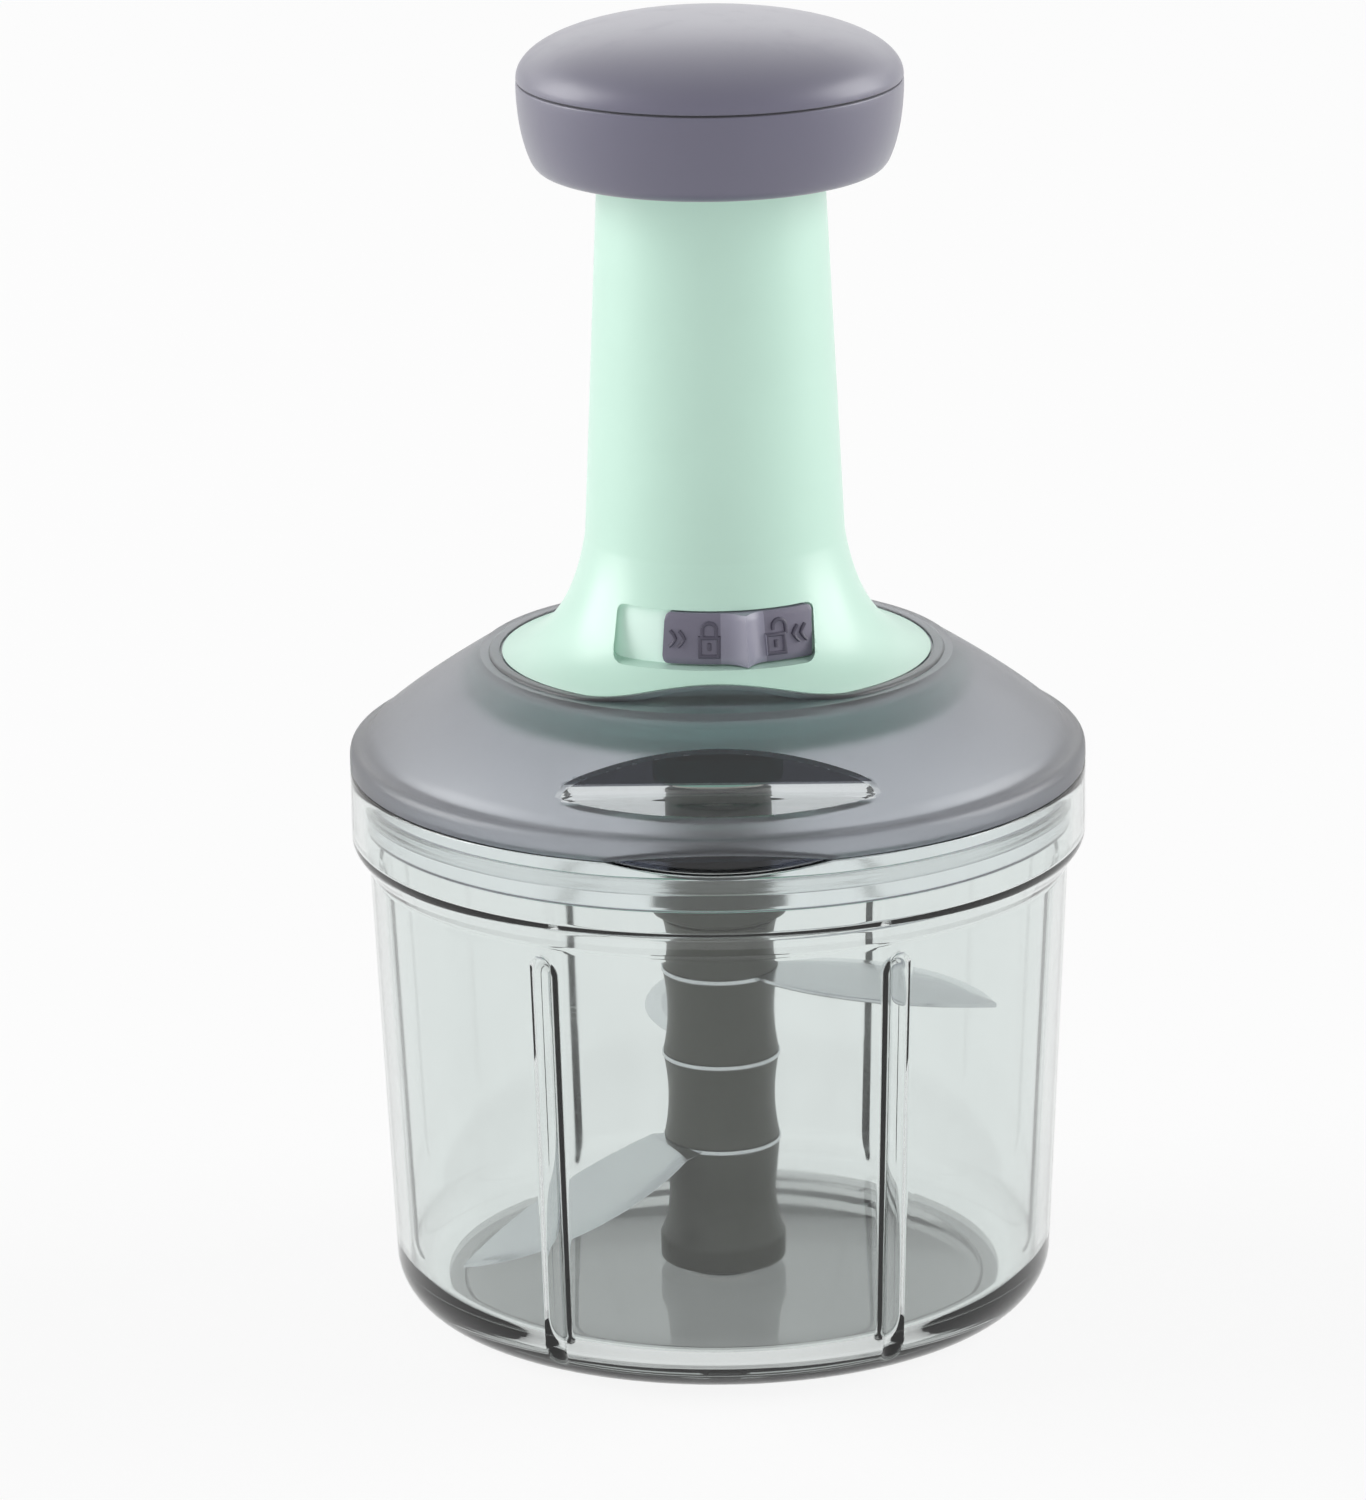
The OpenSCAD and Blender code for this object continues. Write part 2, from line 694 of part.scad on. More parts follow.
module return_spring() {
    points = [for (i = [0:spring_rings]) each wire_ring(i)];
    last = spring_rings * wire_sides;
    sides = [for (i = [0:spring_rings - 1], j = [0:wire_sides - 1])
        let (k = (j + 1) % wire_sides, a = i * wire_sides, b = a + wire_sides)
        each [[a + j, b + j, b + k], [a + j, b + k, a + k]]];
    ends = [for (j = [1:wire_sides - 2]) each [[0, j, j + 1], [last, last + j + 1, last + j]]];
    color("silver") polyhedron(points, concat(sides, ends));
}

// Handle
function cap_side() = concat([[cap_r, seam_z - seam_gap]],
    bend([cap_r - eps, seam_z - side_straight], [cap_r - side_bow, seam_z - skirt_cap_h * 0.6],
        [cap_r - cap_taper + cap_edge_round, skirt_low_z + cap_edge_round + side_foot], 6),
    bend([cap_r - cap_taper + cap_edge_round * 0.9, skirt_low_z + cap_edge_round * 0.8],
        [cap_r - cap_taper + cap_edge_round * 0.7, skirt_low_z], [cap_r - cap_taper, skirt_low_z], 4));

module cap_dome() {
    color([0.55, 0.53, 0.58]) difference() {
        union() {
            difference() {
                turned(concat([[0, seam_z]], dome_line(cap_r, seam_z, dome_h, dome_power, 20)));
                turned(concat([[0, seam_z - over], [cap_r - cap_wall, seam_z - over]],
                    dome_line(cap_r - cap_wall, seam_z, dome_h - cap_wall, dome_power, 20)));
            }
            intersection() {
                on_circle(cap_screw_circle_r, screw_count, 90)
                    translate([0, 0, plate_top_z]) cylinder(r = screw_r + boss_wall, h = far);
                turned(concat([[0, plate_top_z - over], [cap_r - cap_wall, plate_top_z - over]],
                    dome_line(cap_r - cap_wall / 2, seam_z, dome_h - cap_wall / 2, dome_power, 20)));
            }
        }
        on_circle(cap_screw_circle_r, screw_count, 90)
            drill(screw_r, plate_top_z - over, plate_top_z + screw_grip);
    }
}

module cap_skirt() {
    color([0.52, 0.5, 0.55]) difference() {
        turned(concat(cap_side(), [[cap_low_in_r, skirt_low_z], [cap_low_in_r, shelf_z],
            [shelf_in_r, shelf_z], [shelf_in_r, plate_z], [lip_r - lip_h, plate_z],
            [lip_r - lip_t, seam_z - lip_root], [lip_r - lip_t, seam_z + lip_h], [lip_r, seam_z + lip_h],
            [lip_r, seam_z - seam_gap]]));
        on_circle(cap_screw_circle_r, screw_count, 90)
            drill(screw_r + slip_clear, shelf_z - over, plate_z + over);
    }
}

module plunger() {
    catch_half = tongue_h / 2 + catch_gap;
    color([0.5, 0.48, 0.53]) difference() {
        turned([[plunger_in_r, plunger_z], [flange_r, plunger_z], [flange_r, plunger_z + flange_h],
            [plunger_r, plunger_z + flange_h], [plunger_r, catch_z - catch_half],
            [plunger_r - catch_d, catch_z - catch_half], [plunger_r - catch_d, catch_z + catch_half],
            [plunger_r, catch_z + catch_half], [plunger_r, plate_z],
            [plunger_plate_r, plate_z], [plunger_plate_r, plate_top_z], [plunger_in_r, plate_top_z],
            [plunger_in_r, nut_z], [ledge_in_r, nut_z], [ledge_in_r, nut_z - ledge_t],
            [plunger_in_r, nut_z - ledge_t]]);
        on_circle(cap_screw_circle_r, screw_count, 90)
            drill(screw_r + slip_clear, plate_z - over, plate_top_z + over);
    }
}

module cap_screws() {
    color("silver") on_circle(cap_screw_circle_r, screw_count, 90)
        screw_up(shelf_z, plate_top_z - shelf_z + screw_grip - screw_short);
}

// Twisted flat bar between two heights, in step with the rod all the way up
module twisted_bar(w, t, z0, z1) {
    turn_per_slice = 5;
    translate([0, 0, z0]) rotate(360 * z0 / lead)
        linear_extrude(height = z1 - z0, twist = -360 * (z1 - z0) / lead,
            slices = ceil(360 * (z1 - z0) / lead / turn_per_slice), $fn = 4)
            square([w, t], center = true);
}

module drive_nut() {
    color("ivory") difference() {
        drill(nut_r, nut_z, nut_z + nut_h);
        twisted_bar(bar_w + 2 * nut_clear, bar_t + 2 * nut_clear, nut_z - over, nut_z + nut_h + over);
    }
}

module nut_retainer() {
    color("dimgray") tube(nut_r, nut_r - retainer_w, nut_z + nut_h, nut_z + nut_h + retainer_h);
}

// Drive line
module twist_rod() {
    color("gainsboro") difference() {
        union() {
            twisted_bar(bar_w, bar_t, rod_low_z, rod_top_z);
            drill(journal_r, journal_low_z, rod_low_z + rod_root);
        }
        drill(screw_r, journal_low_z - over, journal_low_z + screw_grip);
        tube(far, journal_r - edge, clip_z - slip_clear, clip_z + clip_t + slip_clear);
    }
}

module rod_clip() {
    color("dimgray") difference() {
        tube(journal_r + clip_w, journal_r - clip_bite, clip_z, clip_z + clip_t);
        translate([0, clip_mouth - journal_r, clip_z - over])
            cube([far, 2 * (journal_r - clip_mouth), clip_t + 2 * over]);
    }
}

module clutch_driver() {
    color("ivory") {
        tube(coupler_r, journal_r + slip_clear / 2, driver_z, driver_z + driver_h);
        for (i = [0:dog_count - 1])
            sector(journal_r + dog_in, coupler_r - dog_out, driver_z - dog_h, driver_z + eps,
                360 * i / dog_count, 360 * i / dog_count + dog_sweep);
    }
}

module drive_coupler() {
    color("ivory") difference() {
        union() {
            drill(coupler_r, hex_top_z, coupler_top_z);
            translate([0, 0, hex_low_z]) cylinder(r = hex_r, h = hex_len + eps, $fn = 6);
        }
        drill(journal_r + slip_clear / 2, journal_low_z, coupler_top_z + over);
        drill(screw_r + slip_clear, hex_low_z - over, journal_low_z + over);
        drill(screw_head_r + 2 * slip_clear, hex_low_z - over, coupler_screw_head_z);
        for (i = [0:dog_count - 1])
            sector(journal_r + dog_in - dog_room, coupler_r - dog_out + dog_room,
                coupler_top_z - dog_h - slip_clear, coupler_top_z + over,
                360 * i / dog_count - dog_slack, 360 * i / dog_count + dog_sweep + dog_slack);
    }
}

module coupler_screw() {
    color("silver")
        screw_up(coupler_screw_head_z, journal_low_z - coupler_screw_head_z + screw_grip - screw_short);
}

// Lock
module lock_slider() {
    z1 = slider_z + slider_h;
    color([0.5, 0.48, 0.54]) {
        intersection() {
            rotate(from_front(slider_end - slider_sweep))
                rotate_extrude(angle = slider_sweep)
                    polygon([[slider_in_r, slider_z], [slider_foot_r, slider_z], [flare_slider_r, z1],
                        [slider_in_r, z1]]);
            union() {
                window(slider_in_r - over, slider_z, z1, slider_end - slider_sweep, slider_end,
                    recess_corner);
                window_corners(slider_in_r - over, slider_z, z1, slider_end - slider_sweep, slider_end,
                    recess_corner);
            }
        }
        rotate(from_front(slider_mid)) translate([0, 0, slider_z]) linear_extrude(slider_h)
            polygon([[slider_in_r + slider_root, -ridge_w / 2], [flare_slider_r + ridge_h, -ridge_flat],
                [flare_slider_r + ridge_h, ridge_flat], [slider_in_r + slider_root, ridge_w / 2]]);
        sector(tongue_r, slider_in_r + slider_root, catch_z - neck_h / 2, catch_z + neck_h / 2,
            slider_mid - neck_half, slider_mid + neck_half);
    }
}

module lock_tongue() {
    color("dimgray") sector(tongue_in_r, tongue_r, catch_z - tongue_h / 2, catch_z + tongue_h / 2,
        slider_mid - tongue_half, slider_mid + tongue_half);
}

// Blade shaft
// Segment of the shaft that draws in at its waist
function segment_line(z0, z1) = bend([shaft_r, z0], [shaft_r - 2 * shaft_waist, (z0 + z1) / 2],
    [shaft_r, z1], 8);

module spacer(z0, z1) {
    color([0.4, 0.4, 0.43]) turned(concat([[core_r + slip_clear, z0]], segment_line(z0, z1),
        [[core_r + slip_clear, z1]]));
}

module shaft_top() {
    z0 = upper_z + blade_t;
    color([0.4, 0.4, 0.43]) difference() {
        turned(concat([[0, z0]], segment_line(z0, splash_z - splash_root), [[neck_r, splash_z],
            [splash_r - edge, splash_z], [splash_r, splash_z + edge], [splash_r, splash_z + splash_h - edge],
            [splash_r - edge, splash_z + splash_h], [neck_r, splash_z + splash_h],
            [neck_r, shaft_top_z - edge], [neck_r - edge, shaft_top_z], [0, shaft_top_z]]));
        drill(core_r + slip_clear, z0 - over, socket_z + over);
        translate([0, 0, socket_z]) cylinder(r = socket_r, h = far, $fn = 6);
    }
}

module upper_spacer() spacer(middle_z + blade_t, upper_z);

module lower_spacer() spacer(blade_z + blade_t, middle_z);

module shaft_foot() {
    flare_top = foot_low_z + foot_flare_h;
    color([0.4, 0.4, 0.43]) difference() {
        turned(concat([[0, foot_low_z], [shaft_foot_r - fine_edge, foot_low_z],
            [shaft_foot_r, foot_low_z + fine_edge]],
            bend([shaft_foot_r, flare_top], [shaft_r - shaft_waist, flare_top + foot_neck_h],
                [shaft_r - shaft_waist, (flare_top + blade_z) / 2], 5),
            [[shaft_r, blade_z], [0, blade_z]]));
        drill(shaft_bush_r + slip_clear, foot_low_z - over, shaft_bush_top_z);
        drill(core_r + slip_clear, core_low_z, blade_z + over);
    }
}

module shaft_core() {
    color("silver") drill(core_r, core_low_z, core_top_z);
}

module shaft_nut() {
    color("silver") difference() {
        translate([0, 0, socket_z]) cylinder(r = socket_r - nut_corner, h = nut_t, $fn = 6);
        drill(core_r + slip_clear, socket_z - over, socket_z + nut_t + over);
    }
}

module shaft_bush() {
    color("goldenrod") difference() {
        drill(shaft_bush_r, foot_low_z, shaft_bush_top_z);
        drill(bush_bore_r, foot_low_z - over, boss_z + pin_h + run_clear);
    }
}

// Outline of a leaf-shaped wing that points along +X from the hub to its tip
module leaf(reach) {
    half = reach / 2;
    lead_r = (half * half + blade_lead_w * blade_lead_w) / (2 * blade_lead_w);
    back_r = (half * half + blade_back_w * blade_back_w) / (2 * blade_back_w);
    intersection() {
        translate([half, blade_lead_w - lead_r]) circle(r = lead_r);
        translate([half, back_r - blade_back_w]) circle(r = back_r);
    }
}

// Flat outline of a blade's hub with the stretch of the wing between two distances from the shaft
module blade_outline(x0, x1, hub) {
    if (hub) circle(r = blade_hub_r);
    intersection() {
        leaf(blade_reach);
        translate([x0, -far / 2]) square([x1 - x0, far]);
    }
}

// Flat steel blade at z whose wing turns to the given side
module flat_blade(z, turn) {
    color("gainsboro") difference() {
        translate([0, 0, z]) rotate(from_front(turn)) linear_extrude(blade_t) blade_outline(0, far, true);
        drill(core_r + slip_clear, z - over, z + blade_t + over);
    }
}

// Steel blade at z whose wing turns to the given side and droops past the hub
module bent_blade(z, turn, droop) {
    color("gainsboro") difference() {
        translate([0, 0, z]) rotate(from_front(turn)) {
            linear_extrude(blade_t) blade_outline(0, blade_bend_r, true);
            translate([blade_bend_r, 0, blade_t / 2]) rotate([0, droop, 0])
                translate([-blade_bend_r, 0, -blade_t / 2])
                    linear_extrude(blade_t) blade_outline(blade_bend_r - bend_lap, far, false);
        }
        drill(core_r + slip_clear, z - over, z + blade_t + over);
    }
}

module upper_blade() flat_blade(upper_z, upper_turn);

module middle_blade() flat_blade(middle_z, middle_turn);

module lower_blade() bent_blade(blade_z, lower_turn, blade_droop);

bowl();
bowl_pin();
lid();
lid_seal();
housing();
base_plate();
housing_screws();
lower_bush();
guide_sleeve();
return_spring();
cap_dome();
cap_skirt();
plunger();
cap_screws();
drive_nut();
nut_retainer();
twist_rod();
rod_clip();
clutch_driver();
drive_coupler();
coupler_screw();
lock_slider();
lock_tongue();
shaft_top();
upper_spacer();
lower_spacer();
shaft_foot();
shaft_core();
shaft_nut();
shaft_bush();
upper_blade();
middle_blade();
lower_blade();
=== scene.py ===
"""Looks of a hand-press food chopper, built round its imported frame.

Sizes are in millimetres. Angles are in degrees, counted from the front and positive to the right,
so the front is -Y and the right is +X.
"""
import json
import logging
import math
from dataclasses import dataclass
from enum import Enum
from typing import Callable, Optional, Sequence, Union

import bmesh
import bpy
from mathutils import Matrix, Vector


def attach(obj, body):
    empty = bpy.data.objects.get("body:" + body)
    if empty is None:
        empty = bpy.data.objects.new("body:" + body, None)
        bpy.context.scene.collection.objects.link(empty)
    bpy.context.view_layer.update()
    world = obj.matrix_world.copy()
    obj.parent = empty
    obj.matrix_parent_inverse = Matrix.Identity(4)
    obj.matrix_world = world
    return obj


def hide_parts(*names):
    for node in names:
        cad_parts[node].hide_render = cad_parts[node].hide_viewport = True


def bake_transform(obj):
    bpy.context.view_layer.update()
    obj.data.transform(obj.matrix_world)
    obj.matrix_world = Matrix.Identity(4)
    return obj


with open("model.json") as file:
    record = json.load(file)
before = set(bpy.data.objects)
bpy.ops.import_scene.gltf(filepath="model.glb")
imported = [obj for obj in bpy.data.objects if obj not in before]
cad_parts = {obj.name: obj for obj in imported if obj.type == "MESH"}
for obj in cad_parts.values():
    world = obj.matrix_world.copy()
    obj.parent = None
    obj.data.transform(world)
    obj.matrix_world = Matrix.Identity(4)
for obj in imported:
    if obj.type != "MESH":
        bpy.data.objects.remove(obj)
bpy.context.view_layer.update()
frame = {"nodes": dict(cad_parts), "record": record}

MM = 0.001
ON_AXIS = 1e-6
WELD = 1e-7
CREASE = 32.0
EASE_CREASE = 40.0
EASE_STEPS = 2
FLAT_WEIGHT = 80
EASE_REACH = 0.48
LOG = logging.getLogger("chopper")

Piece = bpy.types.Object
Point = tuple[float, float]
Spot = tuple[float, float, float]
Colour = tuple[float, float, float]
Shape = Callable[[float, float, float, int], Point]


class Cut(Enum):
    """How one solid changes another."""

    TAKE = "DIFFERENCE"
    JOIN = "UNION"


class Axis(Enum):
    """Axes that a prism runs along."""

    X = 0
    Y = 1
    Z = 2


class Body(Enum):
    """Bodies of the frame that the pieces ride on."""

    BOWL = "bowl_unit"
    LID = "lid_unit"
    HANDLE = "handle"
    LOCK = "lock"
    BLADES = "blade_unit"


class Slot(Enum):
    """Material slots of the record."""

    CLEAR = "clear_bowl"
    SMOKE = "smoke_lid"
    MINT = "mint_plastic"
    GREY = "grey_plastic"
    DARK = "dark_plastic"
    PALE = "pale_plastic"
    SILICONE = "silicone"
    STEEL = "steel"
    BLADE = "blade_steel"
    BUSH = "bush_metal"


def spread(low: float, high: float, steps: int) -> list[float]:
    """Evenly spaced numbers from low to high, with both ends."""
    return [low + (high - low) * i / steps for i in range(steps + 1)]


def arc(centre: Point, radius: float, start: float, end: float, steps: int) -> list[Point]:
    """Points of an arc.

    Args:
        centre: middle of the arc.
        radius: its radius.
        start: first angle in degrees.
        end: last angle in degrees.
        steps: number of chords.

    Returns:
        The points from start to end.
    """
    turns = [math.radians(t) for t in spread(start, end, steps)]
    return [(centre[0] + radius * math.cos(t), centre[1] + radius * math.sin(t)) for t in turns]


def between(first: Point, pull: Point, last: Point, share: float) -> Point:
    """Point at a share of the curve that leaves first towards pull and arrives at last."""
    a, b, c = (1 - share) ** 2, 2 * share * (1 - share), share * share
    return a * first[0] + b * pull[0] + c * last[0], a * first[1] + b * pull[1] + c * last[1]


def bend(first: Point, pull: Point, last: Point, steps: int) -> list[Point]:
    """Points of the curve that leaves first towards pull and arrives at last, in equal shares."""
    return [between(first, pull, last, i / steps) for i in range(steps + 1)]


def dome(radius: float, low: float, rise: float, power: float, steps: int) -> list[Point]:
    """Quarter outline of a full dome, from its edge to its crown.

    Args:
        radius: radius at the edge.
        low: height of the edge.
        rise: height of the crown above the edge.
        power: fullness, where 2 is an ellipse.
        steps: number of chords.

    Returns:
        The points from the edge to the axis.
    """
    points = []
    for angle in spread(0, 90, steps):
        t = math.radians(angle)
        points.append((radius * max(math.cos(t), 0) ** (2 / power), low + rise * math.sin(t) ** (2 / power)))
    points[-1] = (0.0, low + rise)
    return points


def arch_radius(half: float, rise: float) -> float:
    """Radius of the round arch with the given half width and rise."""
    return (half ** 2 + rise ** 2) / (2 * rise)


def arch(x: float, half: float, rise: float) -> float:
    """Height of a round arch beside its middle."""
    radius = arch_radius(half, rise)
    return math.sqrt(max(radius ** 2 - x ** 2, 0.0)) - (radius - rise)


def eased(corners: Sequence[Spot], steps: int = 4) -> list[Point]:
    """Open outline through corners, each rounded by its own radius.

    Args:
        corners: points with the rounding radius as the third number.
        steps: chords for each rounding.

    Returns:
        The outline's points.
    """
    points = [corners[0][:2]]
    for before, here, after in zip(corners, corners[1:], corners[2:]):
        corner = Vector(here[:2])
        back = Vector(before[:2]) - corner
        ahead = Vector(after[:2]) - corner
        if here[2] <= 0 or min(back.length, ahead.length) < ON_AXIS:
            points.append(here[:2])
            continue
        half = back.angle(ahead) / 2
        reach = here[2] / max(math.tan(half), ON_AXIS)
        reach = min(reach, EASE_REACH * back.length, EASE_REACH * ahead.length)
        start = corner + back.normalized() * reach
        end = corner + ahead.normalized() * reach
        points += bend(tuple(start), tuple(corner), tuple(end), steps)
    points.append(corners[-1][:2])
    return points


def sharp(points: Sequence[Point]) -> list[Spot]:
    """Gives each point of a curve no rounding of its own."""
    return [(r, z, 0.0) for r, z in points]


def spot(angle: float, r: float, z: float) -> Spot:
    """Place in metres of a point given by its angle from the front, radius and height."""
    turn = math.radians(angle)
    return (r * math.sin(turn) * MM, -r * math.cos(turn) * MM, z * MM)


def soft_min(a: float, b: float, width: float) -> float:
    """Smaller of two lengths with the corner between them rounded over the given width."""
    share = min(max(0.5 + 0.5 * (b - a) / width, 0.0), 1.0)
    return b + (a - b) * share - width * share * (1 - share)


def solid(name: str, points: Sequence[Spot], faces: Sequence[Sequence[int]]) -> Piece:
    """Smooth mesh object with its faces turned outwards.

    Args:
        name: name of the piece.
        points: vertices in metres.
        faces: vertex numbers of each face.

    Returns:
        The new object, linked to the scene.
    """
    mesh = bpy.data.meshes.new(name)
    mesh.from_pydata(points, [], faces)
    work = bmesh.new()
    work.from_mesh(mesh)
    bmesh.ops.remove_doubles(work, verts=work.verts, dist=WELD)
    bmesh.ops.recalc_face_normals(work, faces=work.faces)
    work.to_mesh(mesh)
    work.free()
    piece = bpy.data.objects.new(name, mesh)
    bpy.context.scene.collection.objects.link(piece)
    smooth(piece)
    return piece


def smooth(piece: Piece, crease: float = CREASE) -> None:
    """Shades a piece smooth, with edges above the crease angle kept sharp."""
    piece.data.shade_smooth()
    piece.data.set_sharp_from_angle(angle=math.radians(crease))


def turned(name: str, outline: Sequence[Point], segments: int = 144, angles: Optional[Sequence[float]] = None,
           shape: Optional[Shape] = None, closed: bool = True) -> Piece:
    """Solid of revolution of an outline.

    Args:
        name: name of the piece.
        outline: radius and height of each point.
        segments: number of steps round the axis, when angles isn't given.
        angles: angles of the steps in degrees.
        shape: changes a point, from its angle, radius, height and place in the outline.
        closed: joins the outline's last point to its first.

    Returns:
        The new object.
    """
    turns = list(angles) if angles else spread(0, 360, segments)[:-1]
    points: list[Spot] = []
    rings: list[list[int]] = []
    for index, (r, z) in enumerate(outline):
        ring = []
        for turn in [0.0] if abs(r) < ON_AXIS else turns:
            here = shape(turn, r, z, index) if shape and abs(r) >= ON_AXIS else (r, z)
            ring.append(len(points))
            points.append(spot(turn, *here))
        rings.append(ring)
    faces = []
    count = len(turns)
    for low, high in zip(rings, rings[1:] + (rings[:1] if closed else [])):
        if len(low) == 1 and len(high) == 1:
            continue
        for i in range(count):
            j = (i + 1) % count
            corners = [low[i % len(low)], low[j % len(low)], high[j % len(high)], high[i % len(high)]]
            faces.append(list(dict.fromkeys(corners)))
    return solid(name, points, faces)


def plug(name: str, low: Point, high: Point, segments: int, shape: Optional[Shape] = None) -> Piece:
    """Round plug on the axis between two points of a radius and a height."""
    return turned(name, [(0, low[1]), low, high, (0, high[1])], segments, shape=shape, closed=False)


def lofted(name: str, sections: Sequence[Sequence[Spot]], looped: bool = False) -> Piece:
    """Solid through closed sections of equal point counts, capped at both ends.

    Args:
        name: name of the piece.
        sections: points of each section in metres.
        looped: joins the last section to the first, without caps.

    Returns:
        The new object.
    """
    size = len(sections[0])
    points = [p for section in sections for p in section]
    faces: list[list[int]] = []
    for k in range(len(sections) if looped else len(sections) - 1):
        a, b = k * size, (k + 1) % len(sections) * size
        faces += [[a + i, a + (i + 1) % size, b + (i + 1) % size, b + i] for i in range(size)]
    if not looped:
        faces.append(list(range(size)))
        faces.append(list(range(len(points) - size, len(points))))
    return solid(name, points, faces)


def prism(name: str, ring: Sequence[Point], axis: Axis, low: float, high: float) -> Piece:
    """Prism of a closed outline along one axis.

    Args:
        name: name of the piece.
        ring: the outline's other two coordinates, in their order.
        axis: axis that the prism runs along.
        low: its first end.
        high: its last end.

    Returns:
        The new object.
    """
    sections = []
    for along in (low, high):
        corners = [p[:axis.value] + (along,) + p[axis.value:] for p in ring]
        sections.append([(x * MM, y * MM, z * MM) for x, y, z in corners])
    return lofted(name, sections)


def swept(name: str, corners: Sequence[Point], start: float, end: float, steps: int) -> Piece:
    """Solid that sweeps a section of radii and heights round the axis between two angles."""
    return lofted(name, [[spot(turn, r, z) for r, z in corners] for turn in spread(start, end, steps)])


def settle(piece: Piece) -> None:
    """Applies a piece's modifiers to its mesh."""
    bpy.context.view_layer.update()
    ready = piece.evaluated_get(bpy.context.evaluated_depsgraph_get())
    mesh = bpy.data.meshes.new_from_object(ready)
    old = piece.data
    piece.modifiers.clear()
    piece.data = mesh
    bpy.data.meshes.remove(old)
    mesh.name = piece.name


def carve(piece: Piece, tool: Piece, how: Cut = Cut.TAKE) -> None:
    """Changes a piece by another solid and deletes that solid.

    Args:
        piece: piece to change.
        tool: solid that cuts or joins it.
        how: the change.
    """
    change = piece.modifiers.new("carve", "BOOLEAN")
    change.operation = how.value
    change.object = tool
    change.solver = "EXACT"
    settle(piece)
    mesh = tool.data
    bpy.data.objects.remove(tool)
    bpy.data.meshes.remove(mesh)


def ease_edges(piece: Piece, width: float) -> None:
    """Rounds a piece's sharp edges over a width in millimetres."""
    change = piece.modifiers.new("ease", "BEVEL")
    change.width = width * MM
    change.segments = EASE_STEPS
    change.limit_method = "ANGLE"
    change.angle_limit = math.radians(EASE_CREASE)
    change.use_clamp_overlap = True
    settle(piece)
    smooth(piece)
    even = piece.modifiers.new("even", "WEIGHTED_NORMAL")
    even.keep_sharp = True
    even.weight = FLAT_WEIGHT
    settle(piece)


def mark_faces(piece: Piece, name: str, test: Callable[[bpy.types.MeshPolygon], bool]) -> None:
    """Stores 1 on the faces that pass a test and 0 on the others.

    Args:
        piece: piece to mark.
        name: name of the mark, which a finish reads.
        test: says whether a face has the mark.
    """
    mark = piece.data.attributes.new(name, "FLOAT", "FACE")
    for face in piece.data.polygons:
        mark.data[face.index].value = 1.0 if test(face) else 0.0


class Wire:
    """Output of a node, whose arithmetic adds Math nodes to its graph."""

    def __init__(self, graph: "Graph", socket: bpy.types.NodeSocket) -> None:
        """Keeps the graph and the socket."""
        self.graph = graph
        self.socket = socket

    def _math(self, operation: str, a: "Value", b: "Value") -> "Wire":
        """Adds one Math node."""
        return self.graph.add("ShaderNodeMath", {"operation": operation}, {0: a, 1: b})

    def __add__(self, other: "Value") -> "Wire":
        """Sum."""
        return self._math("ADD", self, other)

    __radd__ = __add__

    def __sub__(self, other: "Value") -> "Wire":
        """Difference."""
        return self._math("SUBTRACT", self, other)

    def __rsub__(self, other: "Value") -> "Wire":
        """Difference from a number."""
        return self._math("SUBTRACT", other, self)

    def __mul__(self, other: "Value") -> "Wire":
        """Product."""
        return self._math("MULTIPLY", self, other)

    __rmul__ = __mul__

    def __gt__(self, other: "Value") -> "Wire":
        """1 where this is greater, otherwise 0."""
        return self._math("GREATER_THAN", self, other)

    def either(self, other: "Value") -> "Wire":
        """Greater of two values."""
        return self._math("MAXIMUM", self, other)


Value = Union[Wire, float, int, Sequence[float]]


